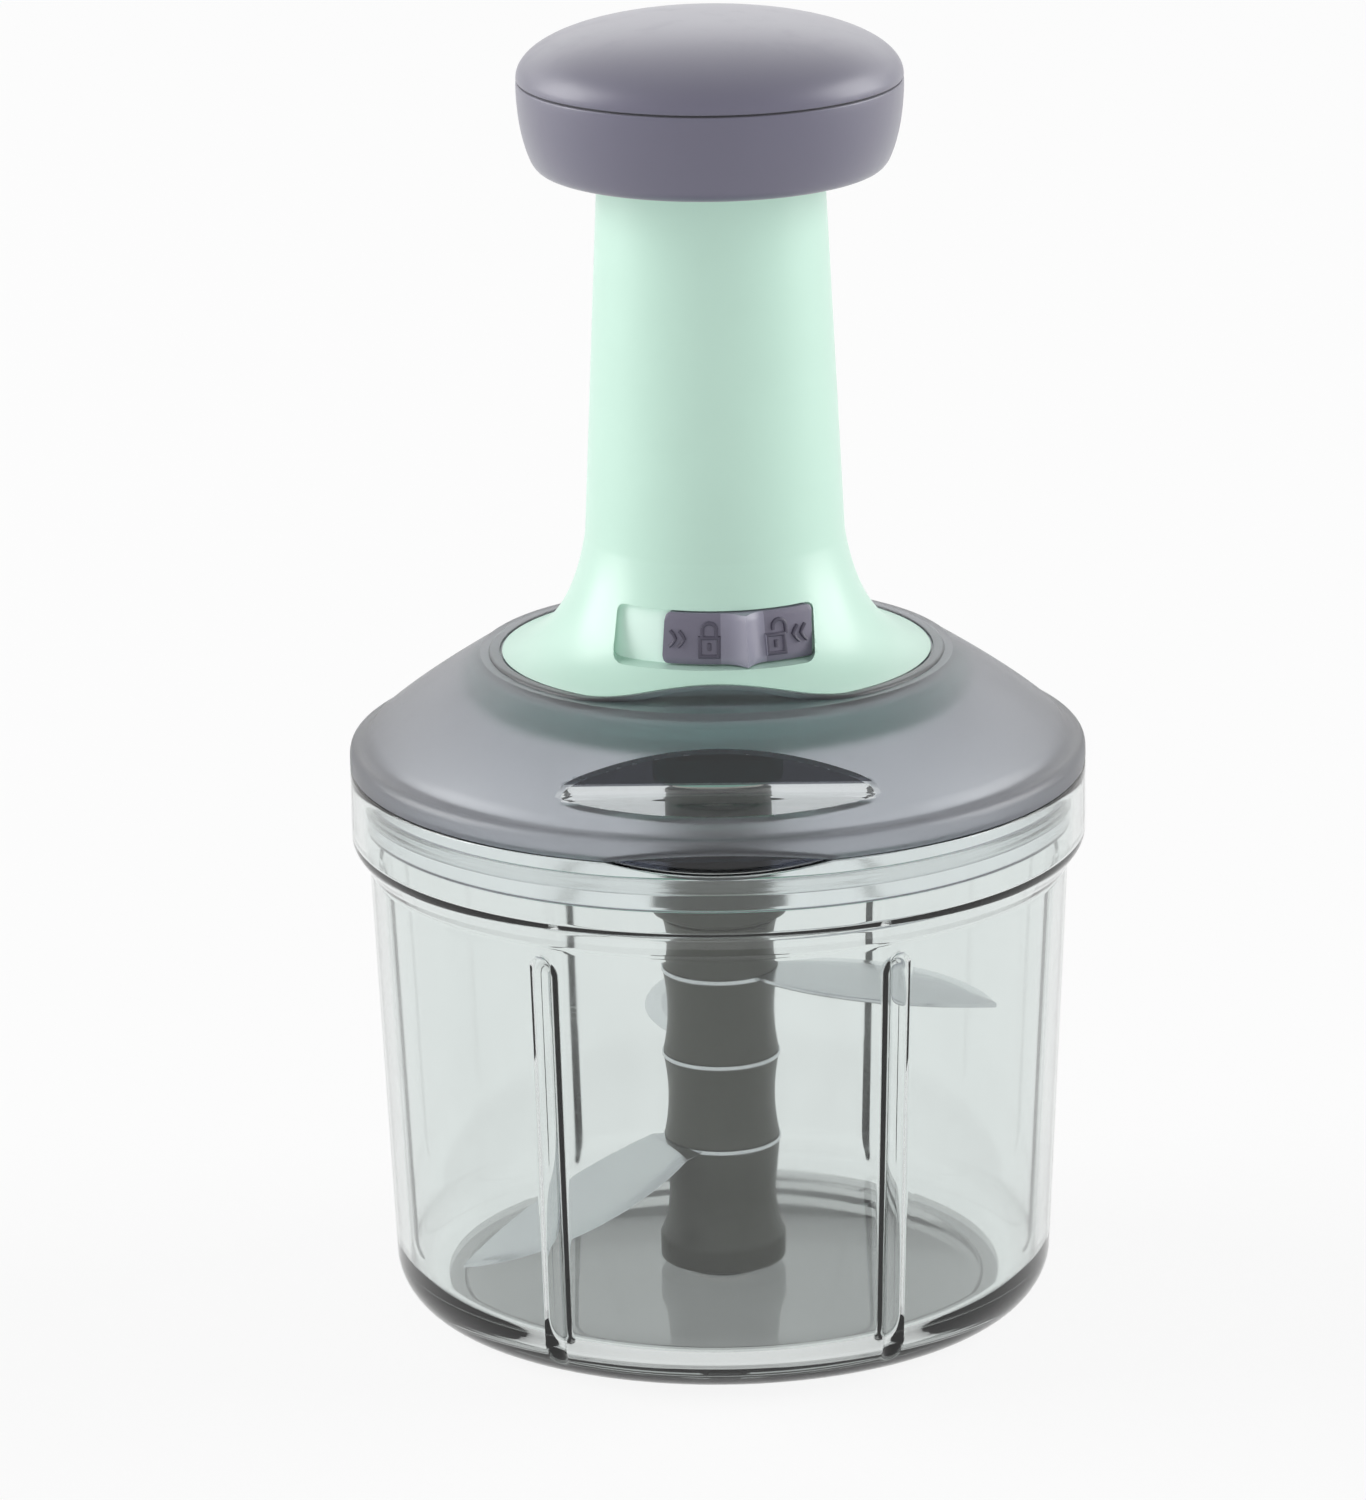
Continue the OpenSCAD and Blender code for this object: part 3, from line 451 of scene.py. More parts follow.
class Graph:
    """Node tree of a material or of the world."""

    def __init__(self, tree: bpy.types.NodeTree) -> None:
        """Clears the tree."""
        self.tree = tree
        tree.nodes.clear()

    def add(self, kind: str, settings: Optional[dict] = None, inputs: Optional[dict] = None,
            output: Union[int, str] = 0) -> Wire:
        """Adds a node.

        Args:
            kind: the node's type.
            settings: its own settings, set first; "stops" are a ramp's places and greys.
            inputs: values or wires for its sockets, by name or number.
            output: the socket that is handed back.

        Returns:
            The wanted output.
        """
        node = self.tree.nodes.new(kind)
        for key, value in (settings or {}).items():
            if key == "stops":
                self._set_stops(node.color_ramp, value)
            else:
                setattr(node, key, value)
        for key, value in (inputs or {}).items():
            if isinstance(value, Wire):
                self.tree.links.new(value.socket, node.inputs[key])
            else:
                node.inputs[key].default_value = value
        return Wire(self, node.outputs[output] if len(node.outputs) else None)

    @staticmethod
    def _set_stops(ramp: bpy.types.ColorRamp, stops: Sequence[Point]) -> None:
        """Sets a ramp's places and greys."""
        while len(ramp.elements) < len(stops):
            ramp.elements.new(1.0)
        for element, (place, grey) in zip(ramp.elements, stops):
            element.position = place
            element.color = (grey, grey, grey, 1.0)

    def place(self) -> Wire:
        """Position on the piece in metres."""
        return self.add("ShaderNodeTexCoord", output="Object")

    def mark(self, name: str) -> Wire:
        """Mark stored on the piece's faces."""
        return self.add("ShaderNodeAttribute", {"attribute_name": name}, output="Fac")

    def stretch(self, vector: Wire, scale: Spot) -> Wire:
        """Position scaled along each axis."""
        return self.add("ShaderNodeVectorMath", {"operation": "MULTIPLY"}, {0: vector, 1: scale})

    def noise(self, vector: Wire, scale: float, detail: float = 2.0, rough: float = 0.5) -> Wire:
        """Soft noise with the given number of features to the metre."""
        return self.add("ShaderNodeTexNoise", None,
                        {"Vector": vector, "Scale": scale, "Detail": detail, "Roughness": rough})

    def ramp(self, value: Wire, stops: Sequence[Point]) -> Wire:
        """Value remapped through a ramp of greys."""
        return self.add("ShaderNodeValToRGB", {"stops": stops}, {"Fac": value})

    def patches(self, vector: Wire, scale: float, levels: Point, detail: float = 2.0,
                rough: float = 0.5) -> Wire:
        """Noise that climbs from 0 to 1 between two of its levels."""
        low, high = levels
        return self.ramp(self.noise(vector, scale, detail, rough), [(low, 0), (high, 1)])

    def mix(self, share: Value, first: Value, second: Value) -> Wire:
        """Colour between two colours."""
        return self.add("ShaderNodeMix", {"data_type": "RGBA"}, {0: share, 6: first, 7: second}, 2)

    def bump(self, height: Wire, strength: float, depth: float) -> Wire:
        """Normal of a fine relief with its depth in millimetres."""
        relief = {"Height": height, "Strength": strength, "Distance": depth * MM}
        return self.add("ShaderNodeBump", None, relief)


def linear(colour: Colour, level: float = 1.0) -> tuple[float, float, float, float]:
    """Linear colour of a screen colour in 0 to 255, times a level."""
    parts = []
    for part in colour:
        share = part / 255
        parts.append(level * (share / 12.92 if share <= 0.04045 else ((share + 0.055) / 1.055) ** 2.4))
    return (parts[0], parts[1], parts[2], 1.0)


@dataclass(frozen=True)
class Finish:
    """A surface finish that makes one material."""

    name: str
    colour: Colour
    roughness: float

    def material(self) -> bpy.types.Material:
        """The finish's material, made once."""
        known = bpy.data.materials.get(self.name)
        if known:
            return known
        made = bpy.data.materials.new(self.name)
        made.use_nodes = True
        graph = Graph(made.node_tree)
        shader = graph.add("ShaderNodeBsdfPrincipled", None, self.sockets(graph))
        output = {"Surface": shader}
        volume = self.volume(graph)
        if volume:
            output["Volume"] = volume
        graph.add("ShaderNodeOutputMaterial", None, output)
        return made

    def sockets(self, graph: Graph) -> dict:
        """Values and wires of the shader's sockets."""
        raise NotImplementedError

    def volume(self, graph: Graph) -> Optional[Wire]:
        """Absorption inside the piece, if it is clear."""
        return None


@dataclass(frozen=True)
class Moulded(Finish):
    """Opaque moulded plastic with a fine spark-eroded grain, soft flow clouds and faint rubs."""

    grain: float = 2600.0
    grain_depth: float = 0.03
    grain_bump: float = 0.35
    grain_gloss: float = 0.03
    cloud: float = 0.05
    cloud_scale: float = 28.0
    cloud_gloss: float = 0.05
    rub_scale: float = 190.0
    rub_gloss: float = 0.05
    rub_stretch: Spot = (1.0, 1.0, 0.35)
    rub_range: Point = (0.52, 0.72)
    sheen: float = 0.0
    ior: float = 1.5

    def sockets(self, graph: Graph) -> dict:
        """Grain in the normal, clouds in the colour, and rubs in the gloss."""
        place = graph.place()
        clouds = graph.noise(place, self.cloud_scale, 3)
        rubs = graph.patches(graph.stretch(place, self.rub_stretch), self.rub_scale, self.rub_range, 4, 0.6)
        grain = graph.noise(place, self.grain, 2)
        gloss = self.roughness + self.cloud_gloss * (clouds - 0.5) + self.rub_gloss * rubs
        dark, light = (linear(self.colour, 1 + change) for change in (-self.cloud, self.cloud))
        return {
            "Base Color": graph.mix(clouds, dark, light),
            "Roughness": gloss + self.grain_gloss * (grain - 0.5),
            "Normal": graph.bump(grain, self.grain_bump, self.grain_depth),
            "IOR": self.ior,
            "Sheen Weight": self.sheen,
        }


@dataclass(frozen=True)
class Clear(Finish):
    """See-through plastic with faint wipes and hairline scratches, tinted through its thickness.

    A floor darkened by painted shade is given by its height and radius in metres.
    """

    tint: Colour = (200.0, 206.0, 208.0)
    density: float = 30.0
    ior: float = 1.5
    wipe_gloss: float = 0.05
    wipe_tone: float = 0.97
    wipe_scale: float = 45.0
    wipe_stretch: Spot = (1.0, 1.0, 0.5)
    wipe_range: Point = (0.45, 0.75)
    hair_gloss: float = 0.04
    hair_scale: float = 160.0
    hair_stretch: Spot = (1.0, 1.0, 12.0)
    hair_range: Point = (0.66, 0.72)
    ripple: float = 0.02
    ripple_bump: float = 0.2
    ripple_scale: float = 60.0
    haze: float = 0.0
    # Level that darkens the floor's colour, which is painted shade; 1 leaves the floor as the skin.
    floor_shade: float = 1.0
    floor_z: float = 0.0056
    floor_r: float = 0.0535

    def sockets(self, graph: Graph) -> dict:
        """Wipes and hairlines in the gloss, a slight moulding ripple, and painted shade on a floor."""
        place = graph.place()
        streaks, threads = graph.stretch(place, self.wipe_stretch), graph.stretch(place, self.hair_stretch)
        wipes = graph.patches(streaks, self.wipe_scale, self.wipe_range, 4, 0.6)
        hairs = graph.patches(threads, self.hair_scale, self.hair_range)
        ripple = graph.noise(place, self.ripple_scale, 1)
        return {
            "Base Color": self.tone(graph, place, wipes),
            "Roughness": self.roughness + self.wipe_gloss * wipes + self.hair_gloss * hairs,
            "Normal": graph.bump(ripple, self.ripple_bump, self.ripple),
            "IOR": self.ior,
            "Transmission Weight": 1.0 - self.haze,
        }

    def tone(self, graph: Graph, place: Wire, wipes: Wire) -> Wire:
        """Colour of the skin, darkened by painted shade on the floor where there is one."""
        skin = graph.mix(wipes, linear(self.colour), linear(self.colour, self.wipe_tone))
        if self.floor_shade == 1.0:
            return skin
        height = graph.add("ShaderNodeSeparateXYZ", None, {0: place}, "Z")
        flat = graph.stretch(place, (1.0, 1.0, 0.0))
        away = graph.add("ShaderNodeVectorMath", {"operation": "LENGTH"}, {0: flat}, "Value")
        clear = (height > self.floor_z).either(away > self.floor_r)
        # Painted shade: the colour is darkened below floor_z and inside floor_r.
        return graph.mix(clear, linear(self.colour, self.floor_shade), skin)

    def volume(self, graph: Graph) -> Optional[Wire]:
        """Tint that deepens with thickness."""
        inside = {"Color": linear(self.tint), "Density": self.density}
        return graph.add("ShaderNodeVolumeAbsorption", None, inside)


@dataclass(frozen=True)
class Smoke(Clear):
    """Satin smoke plastic whose finger scoop is polished, with a painted highlight on its floor and painted
    shade on its wall.
    """

    scoop_roughness: float = 0.02
    # Whitened colour of the scoop's floor: a painted highlight.
    scoop_floor_highlight: Colour = (250.0, 251.0, 253.0)
    # Dark colour of the scoop's wall: painted shade.
    deep: Colour = (46.0, 49.0, 58.0)
    satin_scale: float = 1800.0
    satin_gloss: float = 0.1

    def sockets(self, graph: Graph) -> dict:
        """Satin skin with fine grain, and from its marks the scoop's polish, a painted highlight on its floor
        and painted shade on its wall.
        """
        values = super().sockets(graph)
        polish = graph.mark("scoop_polish_and_highlight")
        grain = graph.noise(graph.place(), self.satin_scale, 2)
        satin = values["Roughness"] + self.satin_gloss * (grain - 0.5)
        values["Roughness"] = satin * (1 - polish) + self.scoop_roughness * polish
        # Painted highlight: the polished faces of the scoop are whitened.
        floor = graph.mix(polish, values["Base Color"], linear(self.scoop_floor_highlight))
        # Painted shade: the scoop's wall is darkened.
        values["Base Color"] = graph.mix(graph.mark("scoop_wall_shade"), floor, linear(self.deep))
        return values


@dataclass(frozen=True)
class Metal(Finish):
    """Bare metal with drawn or ground lines along one direction."""

    lines: Spot = (1.0, 1.0, 40.0)
    line_scale: float = 60.0
    line_depth: float = 0.01
    line_bump: float = 0.3
    line_gloss: float = 0.16
    stain_tone: float = 0.9
    stain_scale: float = 70.0
    stain_gloss: float = 0.08

    def sockets(self, graph: Graph) -> dict:
        """Lines in the gloss and normal, and slight stains in the colour."""
        place = graph.place()
        lines = graph.noise(graph.stretch(place, self.lines), self.line_scale, 5, 0.65)
        stains = graph.noise(place, self.stain_scale, 3)
        return {
            "Base Color": graph.mix(stains, linear(self.colour, self.stain_tone), linear(self.colour)),
            "Roughness": self.roughness + self.line_gloss * (lines - 0.5) + self.stain_gloss * (stains - 0.5),
            "Normal": graph.bump(lines, self.line_bump, self.line_depth),
            "Metallic": 1.0,
        }


@dataclass(frozen=True)
class Rubber(Finish):
    """Soft silicone with a dusty, slightly mottled skin."""

    mottle_tone: float = 0.97
    mottle_scale: float = 240.0
    mottle_gloss: float = 0.06
    pore_scale: float = 3000.0
    pore_bump: float = 0.1
    pore_depth: float = 0.005
    ior: float = 1.41
    clearness: float = 0.96

    def sockets(self, graph: Graph) -> dict:
        """Mottle in the colour and gloss, and fine pores in the normal."""
        place = graph.place()
        mottle = graph.noise(place, self.mottle_scale, 3)
        pores = graph.noise(place, self.pore_scale, 1)
        return {
            "Base Color": graph.mix(mottle, linear(self.colour, self.mottle_tone), linear(self.colour)),
            "Roughness": self.roughness + self.mottle_gloss * (mottle - 0.5),
            "Normal": graph.bump(pores, self.pore_bump, self.pore_depth),
            "IOR": self.ior,
            "Transmission Weight": self.clearness,
        }


# The bowl's floor is darkened by its floor level: painted shade.
CLEAR_BOWL = Clear("clear_bowl_plastic", (239, 243, 242), 0.015, tint=(186, 190, 188), density=18,
                   floor_shade=0.36)
SMOKE = Smoke("smoke_satin_plastic", (216, 218, 226), 0.36, tint=(100, 106, 116), density=85, haze=0.04)
SMOKE_TAB = Clear("deep_smoke_plastic", (70, 73, 84), 0.08, tint=(100, 106, 116), density=60)
SKIRT = Clear("pale_skirt_plastic", (252, 253, 255), 0.14, tint=(190, 196, 204), density=8, ior=1.3)
MINT = Moulded("mint_satin_plastic", (195, 229, 213), 0.33, grain_depth=0.015, ior=1.62)
MINT_PLATE = Moulded("mint_plate_plastic", (158, 220, 198), 0.38, grain_depth=0.015)
# Lighter mint for the floor of the slider's recess: painted light.
MINT_LIT_FLOOR = Moulded("mint_lit_floor_plastic", (222, 247, 236), 0.4, grain_depth=0.015)
GREY = Moulded("grey_violet_plastic", (102, 100, 118), 0.36, grain_depth=0.015, sheen=0.3, ior=1.62)
NOSE = Moulded("grey_nose_plastic", (138, 136, 152), 0.34, grain_depth=0.015)
PAD_MARK = Moulded("grey_mark_plastic", (74, 71, 86), 0.36, grain_depth=0.02)
PAD = Moulded("grey_pad_plastic", (112, 109, 124), 0.48, grain=1500, grain_depth=0.05)
DARK = Moulded("dark_shaft_plastic", (58, 60, 49), 0.36, grain_depth=0.001)
PALE = Moulded("pale_bearing_plastic", (222, 219, 206), 0.42)
SILICONE = Rubber("seal_silicone", (252, 253, 253), 0.14)
STEEL = Metal("plain_steel", (196, 197, 199), 0.3)
BLADE = Metal("ground_blade_steel", (214, 216, 218), 0.2, lines=(1.0, 30.0, 1.0), line_scale=40)
EDGE = Metal("honed_edge_steel", (228, 230, 232), 0.12, lines=(1.0, 60.0, 1.0), line_scale=60)
BUSH = Metal("sintered_bush_metal", (206, 168, 104), 0.42)

SLOT_FINISHES: dict[Slot, Finish] = {
    Slot.CLEAR: CLEAR_BOWL,
    Slot.SMOKE: SMOKE,
    Slot.MINT: MINT,
    Slot.GREY: GREY,
    Slot.DARK: DARK,
    Slot.PALE: PALE,
    Slot.SILICONE: SILICONE,
    Slot.STEEL: STEEL,
    Slot.BLADE: BLADE,
    Slot.BUSH: BUSH,
}


def dress(piece: Piece, body: Body, slot: Slot, nodes: Sequence[str], *finishes: Finish) -> Piece:
    """Finishes a piece and fixes it to its body.

    Args:
        piece: the piece.
        body: body that it rides on.
        slot: material slot that it takes its finish from.
        nodes: nodes that it stands for.
        finishes: finishes in the order of the material numbers.

    Returns:
        The same piece.
    """
    numbers = [face.material_index for face in piece.data.polygons]
    piece.data.materials.clear()
    for finish in finishes:
        piece.data.materials.append(finish.material())
    piece.data.polygons.foreach_set("material_index", numbers)
    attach(piece, body.value)
    if nodes:
        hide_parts(*nodes)
    return piece


@dataclass(frozen=True)
class Notch:
    """Shallow arch that bites into the front of a rim for a finger."""

    width: float = 42.0
    depth: float = 2.0

    def radius(self) -> float:
        """Radius of the arch."""
        return arch_radius(self.width / 2, self.depth)

    def dip(self, x: float) -> float:
        """Depth of the notch beside its middle."""
        return max(0.0, arch(x, self.width / 2, self.depth))


@dataclass
class Bowl:
    """Clear bowl with a stepped collar, upright flutes and a foot ring."""

    height: float = 106.8
    rim_h: float = 2.4
    rim_round: float = 0.5
    rim_in_round: float = 0.4
    collar_r: float = 70.2
    step_z: float = 92.6
    collar_step: float = 3.2
    collar_start: float = 4.0
    collar_end: float = 3.0
    shoulder_z: float = 87.9
    shoulder_rise: float = 4.8
    shoulder_round: float = 3.2
    ledge_top: float = 5.0
    ledge_round: float = 1.0
    shoulder_fillet: float = 0.9
    wall_end: float = 0.5
    wall_gap: float = 0.3
    wall: float = 2.4
    wall_low_r: float = 63.4
    corner_r: float = 10.0
    corner_angles: Point = (-80.0, -6.0)
    inner_angles: Point = (-5.0, -90.0)
    foot_r: float = 53.4
    foot_h: float = 1.5
    foot_w: float = 3.0
    foot_fillet: float = 0.5
    foot_round: float = 0.4
    floor_z: float = 5.0
    boss_r: float = 8.0
    boss_z: float = 6.2
    boss_apron: float = 3.0
    boss_fillet: float = 0.6
    boss_round: float = 0.4
    pin_hole_r: float = 3.1
    pin_round: float = 0.2
    pin_sink: float = 2.5
    flutes: int = 6
    first_flute: float = 30.0
    flute_r: float = 2.4
    flute_depth: float = 1.5
    flute_top: float = 86.1
    flute_clear: float = 3.6
    flute_turn: float = 0.24
    flute_turns: int = 15
    rib_r: float = 4.4
    blend: float = 0.5
    notch: Notch = Notch()
    notch_turn: float = 0.8
    dip_from: float = 5.0
    dip_over: float = 4.0
    fine_below: float = 4.5
    fine_above: float = 0.8
    rows: tuple[int, int, int] = (14, 16, 2)

    def wall_top_r(self) -> float:
        """Radius of the wall under the collar."""
        return self.collar_r - self.collar_step

    def wall_slope(self) -> float:
        """Lean of the wall as radius over height."""
        return (self.wall_top_r() - self.wall_low_r) / (self.step_z - self.collar_step - self.corner_r)

    def dip(self, angle: float, r: float) -> float:
        """Depth of the finger notch at a place on the rim."""
        turn = math.radians(angle)
        return self.notch.dip(r * math.sin(turn)) if math.cos(turn) >= 0 else 0.0

    def heights(self, low: float, high: float) -> list[float]:
        """Heights of the wall's rows, close together round the tops of the flutes."""
        fine_low, fine_high = self.flute_top - self.fine_below, self.flute_top + self.fine_above
        plain, fine, last = self.rows
        rows = spread(low, fine_low, plain) + spread(fine_low, fine_high, fine)[1:]
        return rows + spread(fine_high, high, last)[1:]

    def outer(self) -> list[Point]:
        """Outside of the bowl from the middle of its base to its rim."""
        low_z = self.corner_r
        high_z = self.shoulder_z - self.wall_end
        wall = [(self.wall_low_r + (z - low_z) * self.wall_slope(), z) for z in self.heights(low_z, high_z)]
        ring_r = self.foot_r - self.foot_w
        foot = eased([(0, self.foot_h, 0), (ring_r, self.foot_h, self.foot_fillet),
                      (ring_r, 0, self.foot_round), (self.foot_r, 0, self.foot_round)]
                     + sharp(arc((self.foot_r, self.corner_r), self.corner_r, *self.corner_angles, 10)))
        shoulder = eased([wall[-1] + (0.0,), (self.wall_top_r(), self.shoulder_z, self.shoulder_fillet),
                          (self.collar_r, self.shoulder_z + self.shoulder_rise, self.shoulder_round),
                          (self.collar_r, self.step_z + self.collar_start, 0)], 8)
        rim = eased([(self.collar_r, self.height - self.rim_h, 0),
                     (self.collar_r, self.height, self.rim_round),
                     (self.collar_r - self.wall / 2, self.height, 0)])
        return foot + wall + shoulder[1:] + [(self.collar_r, self.height - self.collar_end)] + rim

    def inner(self) -> list[Point]:
        """Inside of the bowl from its rim to the middle of its floor."""
        in_r = self.collar_r - self.wall
        corner = self.corner_r - self.wall
        low_z = self.floor_z + corner
        low_r = self.wall_low_r - self.wall
        rim = eased([(self.collar_r - self.wall / 2, self.height, 0), (in_r, self.height, self.rim_in_round),
                     (in_r, self.height - self.rim_h, 0)])[1:]
        top_r = self.wall_top_r() - self.wall
        lean = math.atan2(self.shoulder_rise, self.collar_step)
        ledge_z = self.shoulder_z + self.wall * (1 - math.sin(lean)) / math.cos(lean)
        top_z = ledge_z - 2 * self.wall_end
        ledge = eased([(in_r, self.step_z + self.ledge_top, 0),
                       (in_r, ledge_z + self.shoulder_rise, self.ledge_round),
                       (top_r, ledge_z, self.shoulder_fillet + self.wall), (top_r, top_z, 0)], 8)
        slope = (self.wall_top_r() - self.wall_low_r) / (top_z - low_z)
        rows = reversed(self.heights(low_z, top_z - self.wall_gap))
        wall = [(low_r + (z - low_z) * slope, z) for z in rows]
        bottom = arc((low_r - corner, low_z), corner, *self.inner_angles, 10)
        sink_z = self.boss_z - self.pin_sink
        boss = eased([(self.boss_r + self.boss_apron, self.floor_z, 0),
                      (self.boss_r, self.floor_z, self.boss_fillet),
                      (self.boss_r, self.boss_z, self.boss_round),
                      (self.pin_hole_r, self.boss_z, self.pin_round),
                      (self.pin_hole_r, sink_z, 0), (0, sink_z, 0)])
        return rim + ledge + wall + bottom + boss

    def angles(self) -> list[float]:
        """Steps round the bowl, close together at the flutes and the ends of the notch."""
        turns = set(spread(0, 360, 180)[:-1])
        near = range(-self.flute_turns, self.flute_turns + 1)
        for k in range(self.flutes):
            middle = self.first_flute + 360 / self.flutes * k
            turns = {t for t in turns if abs((t - middle + 180) % 360 - 180) > self.flute_clear}
            turns |= {round(middle + self.flute_turn * i, 3) % 360 for i in near}
        end = math.degrees(math.asin(self.notch.width / 2 / self.collar_r))
        inside = end - self.notch_turn
        return sorted(turns | {round(t, 3) for t in (end, 360 - end, inside, 360 - inside)})

    def build(self) -> list[Piece]:
        """Makes the bowl.

        Returns:
            The bowl alone.
        """
        outer, inner = self.outer(), self.inner()
        out = self.flute_r - self.flute_depth

        def shape(angle: float, r: float, z: float, index: int) -> Point:
            """Presses the flutes into the wall and dips the rim at the notch."""
            nearest = (angle - self.first_flute) % (360 / self.flutes)
            nearest = min(nearest, 360 / self.flutes - nearest)
            axis_r = self.wall_low_r + out + (z - self.corner_r) * self.wall_slope()
            radius = self.flute_r if index < len(outer) else self.rib_r
            side = axis_r * math.sin(math.radians(nearest))
            rise = max(0.0, z - (self.flute_top - radius))
            away = math.hypot(side, rise)
            if away < radius and z < self.step_z:
                r = soft_min(r, axis_r - math.sqrt(radius ** 2 - away ** 2), self.blend)
            near_rim = min(max((z - (self.height - self.dip_from)) / self.dip_over, 0.0), 1.0)
            return r, z - near_rim * self.dip(angle, r)

        bowl = turned("bowl_shell", outer + inner, angles=self.angles(), shape=shape, closed=False)
        return [dress(bowl, Body.BOWL, Slot.CLEAR, ["bowl"], CLEAR_BOWL)]


@dataclass(frozen=True)
class FootEdge:
    """Lower edge of the housing's flare, which climbs over the lid's brow at the front."""

    flare_r: float = 40.8
    deck_z: float = 128.6
    pull: Point = (27.8, 131.4)
    low_r: float = 24.6
    flare_z: float = 152.0
    flat: float = 34.9
    ease: float = 3.2
    least_turn: float = 0.2
    halvings: int = 40

    def point(self, share: float) -> Point:
        """Place on the flare, from its foot at 0 to the tube at 1."""
        return between((self.flare_r, self.deck_z), self.pull, (self.low_r, self.flare_z), share)

    def share(self, angle: float) -> float:
        """Share of the flare that lies under the edge at an angle."""
        turn = math.cos(math.radians(angle))
        wanted = self.flare_r
        if turn > self.least_turn:
            wanted = soft_min(self.flare_r, self.flat / turn, self.ease)
        low, high = 0.0, 1.0
        for _ in range(self.halvings):
            middle = (low + high) / 2
            if self.point(middle)[0] > wanted:
                low = middle
            else:
                high = middle
        return low

    def at(self, angle: float) -> Point:
        """Radius and height of the edge at an angle."""
        return self.point(self.share(angle))


@dataclass
class Lid:
    """Smoke lid with a raised brow, a bead round the housing, a finger scoop and a sealed skirt."""

    rim_z: float = 106.8
    rim_r: float = 70.2
    rim_h: float = 2.4
    rim_round: float = 0.7
    roll_h: float = 4.6
    roll_w: float = 1.6
    valley_pull: float = 1.75
    valley_end: float = 2.6
    deck_z: float = 128.6
    wall: float = 2.4
    crown_pull: Point = (65.5, 115.5)
    crown_top: Point = (46.0, 127.8)
    deck_r: float = 45.0
    deck_ease: Point = (0.4, -0.25)
    deck_row: float = 0.75
    deck_rows: int = 20
    deck_in: float = 25.0
    segments: int = 240
    seat_sink: float = 0.05
    seat_h: float = 20.0
    bead_gap: float = 0.3
    bead_set: float = 0.1
    bead_in: float = 0.001
    bead_w: float = 2.2
    bead_h: float = 0.5
    bead_sink: float = 1.0
    bead_round: float = 0.9
    bead_in_round: float = 0.4
    front_bead_w: float = 0.7
    front_bead_h: float = 0.2
    front_rise: float = 2.0
    brow_fall: float = 0.41
    brow_curve: float = 0.02
    brow_ease: float = 0.8
    brow_turn: float = 0.5
    brow_from: float = 12.0
    edge: FootEdge = FootEdge()
    edge_round: float = 0.3
    hole_r: float = 20.0
    hole_top: float = 150.0
    hollow_sink: float = 4.0
    hollow_start: float = 1.0
    hollow_pull: float = 0.72
    hollow_ease: Point = (1.5, 0.8)
    skirt_r: float = 67.15
    skirt_low: float = 97.0
    skirt_gap: float = 0.05
    skirt_round: float = 0.6
    groove_round: float = 0.15
    seal_in: float = 66.0
    seal_out: float = 67.5
    seal_z: float = 101.9
    seal_h: float = 3.0
    seal_d: float = 1.2
    seal_play: float = 0.1
    lip_foot: float = 0.3
    lip_dip: float = 0.35
    lip_round: float = 0.4
    scoop_z: float = 115.6
    scoop_fall: float = 8.0
    scoop_y: float = 52.8
    scoop_lean: float = 10.0
    scoop_round: float = 5.0
    scoop_rise: float = 40.0
    scoop_front: float = 120.0
    scoop_half: float = 90.0
    scoop_near: float = 0.06
    floor_tilt: float = 0.5
    wall_tilt: float = 0.3
    upright: float = 0.6
    notch: Notch = Notch()
    notch_y: Point = (-100.0, -54.0)
    notch_sides: int = 720
    keep_gap: float = 0.02
    keep_top: float = 160.0
    tab_in: float = 0.04
    tab_out: float = 0.5
    tab_over: float = 1.5
    tab_low: float = 3.4
    tab_high: float = 2.6
    tab_ease: float = 0.1
    tab_least: float = 0.0015

    def brow(self, angle: float, r: float) -> float:
        """Height of the raised front at a place, which falls away from the housing's foot."""
        edge_r, edge_z = self.edge.at(angle)
        out = max(r - edge_r, 0.0)
        return edge_z - self.brow_fall * out - self.brow_curve * out * out

    def crown(self, steps: int) -> list[Point]:
        """Curve of the lid from its rolled rim over a shallow valley up to the deck."""
        start, top = (self.rim_r, self.rim_z + self.rim_h), self.rim_z + self.roll_h
        rise = bend(start, self.crown_pull, self.crown_top, steps)
        roll = bend(start, (self.rim_r, top), (self.rim_r - self.roll_w, top), 10)
        end = next(p for p in rise if p[0] < self.rim_r - self.valley_end * self.roll_w)
        valley = bend(roll[-1], (self.rim_r - self.valley_pull * self.roll_w, top), end, 8)
        return roll + valley[1:-1] + [p for p in rise if p[0] <= end[0]]

    def body(self) -> Piece:
        """Filled outside of the lid with its raised front."""
        rim_top = self.rim_z + self.rim_h
        rim = eased([(0, self.rim_z, 0), (self.rim_r, self.rim_z, self.rim_round), (self.rim_r, rim_top, 0)])
        deck = [(self.deck_r + self.deck_ease[0], self.deck_z + self.deck_ease[1])]
        deck += [(self.deck_r - self.deck_row * i, self.deck_z) for i in range(self.deck_rows)]
        outline = rim[:-1] + self.crown(36) + deck + [(self.deck_in, self.deck_z), (0, self.deck_z)]

        def shape(angle: float, r: float, z: float, index: int) -> Point:
            """Lifts the front of the deck to the brow."""
            in_front = math.cos(math.radians(angle)) > self.brow_turn
            if in_front and z >= self.rim_z + self.brow_from and r >= self.deck_in:
                z = -soft_min(-z, -self.brow(angle, r), self.brow_ease)
            return r, z

        body = turned("lid_shell", outline, self.segments, shape=shape, closed=False)
        carve(body, self.seat())
        return body

    def seat(self) -> Piece:
        """Space that the foot of the housing stands in."""
        def shape(angle: float, r: float, z: float, index: int) -> Point:
            """Follows the foot's edge with a small gap."""
            return self.edge.at(angle)[0] + self.bead_gap, z

        low, high = (1.0, self.deck_z - self.seat_sink), (1.0, self.deck_z + self.seat_h)
        return plug("foot_seat", low, high, self.segments, shape)

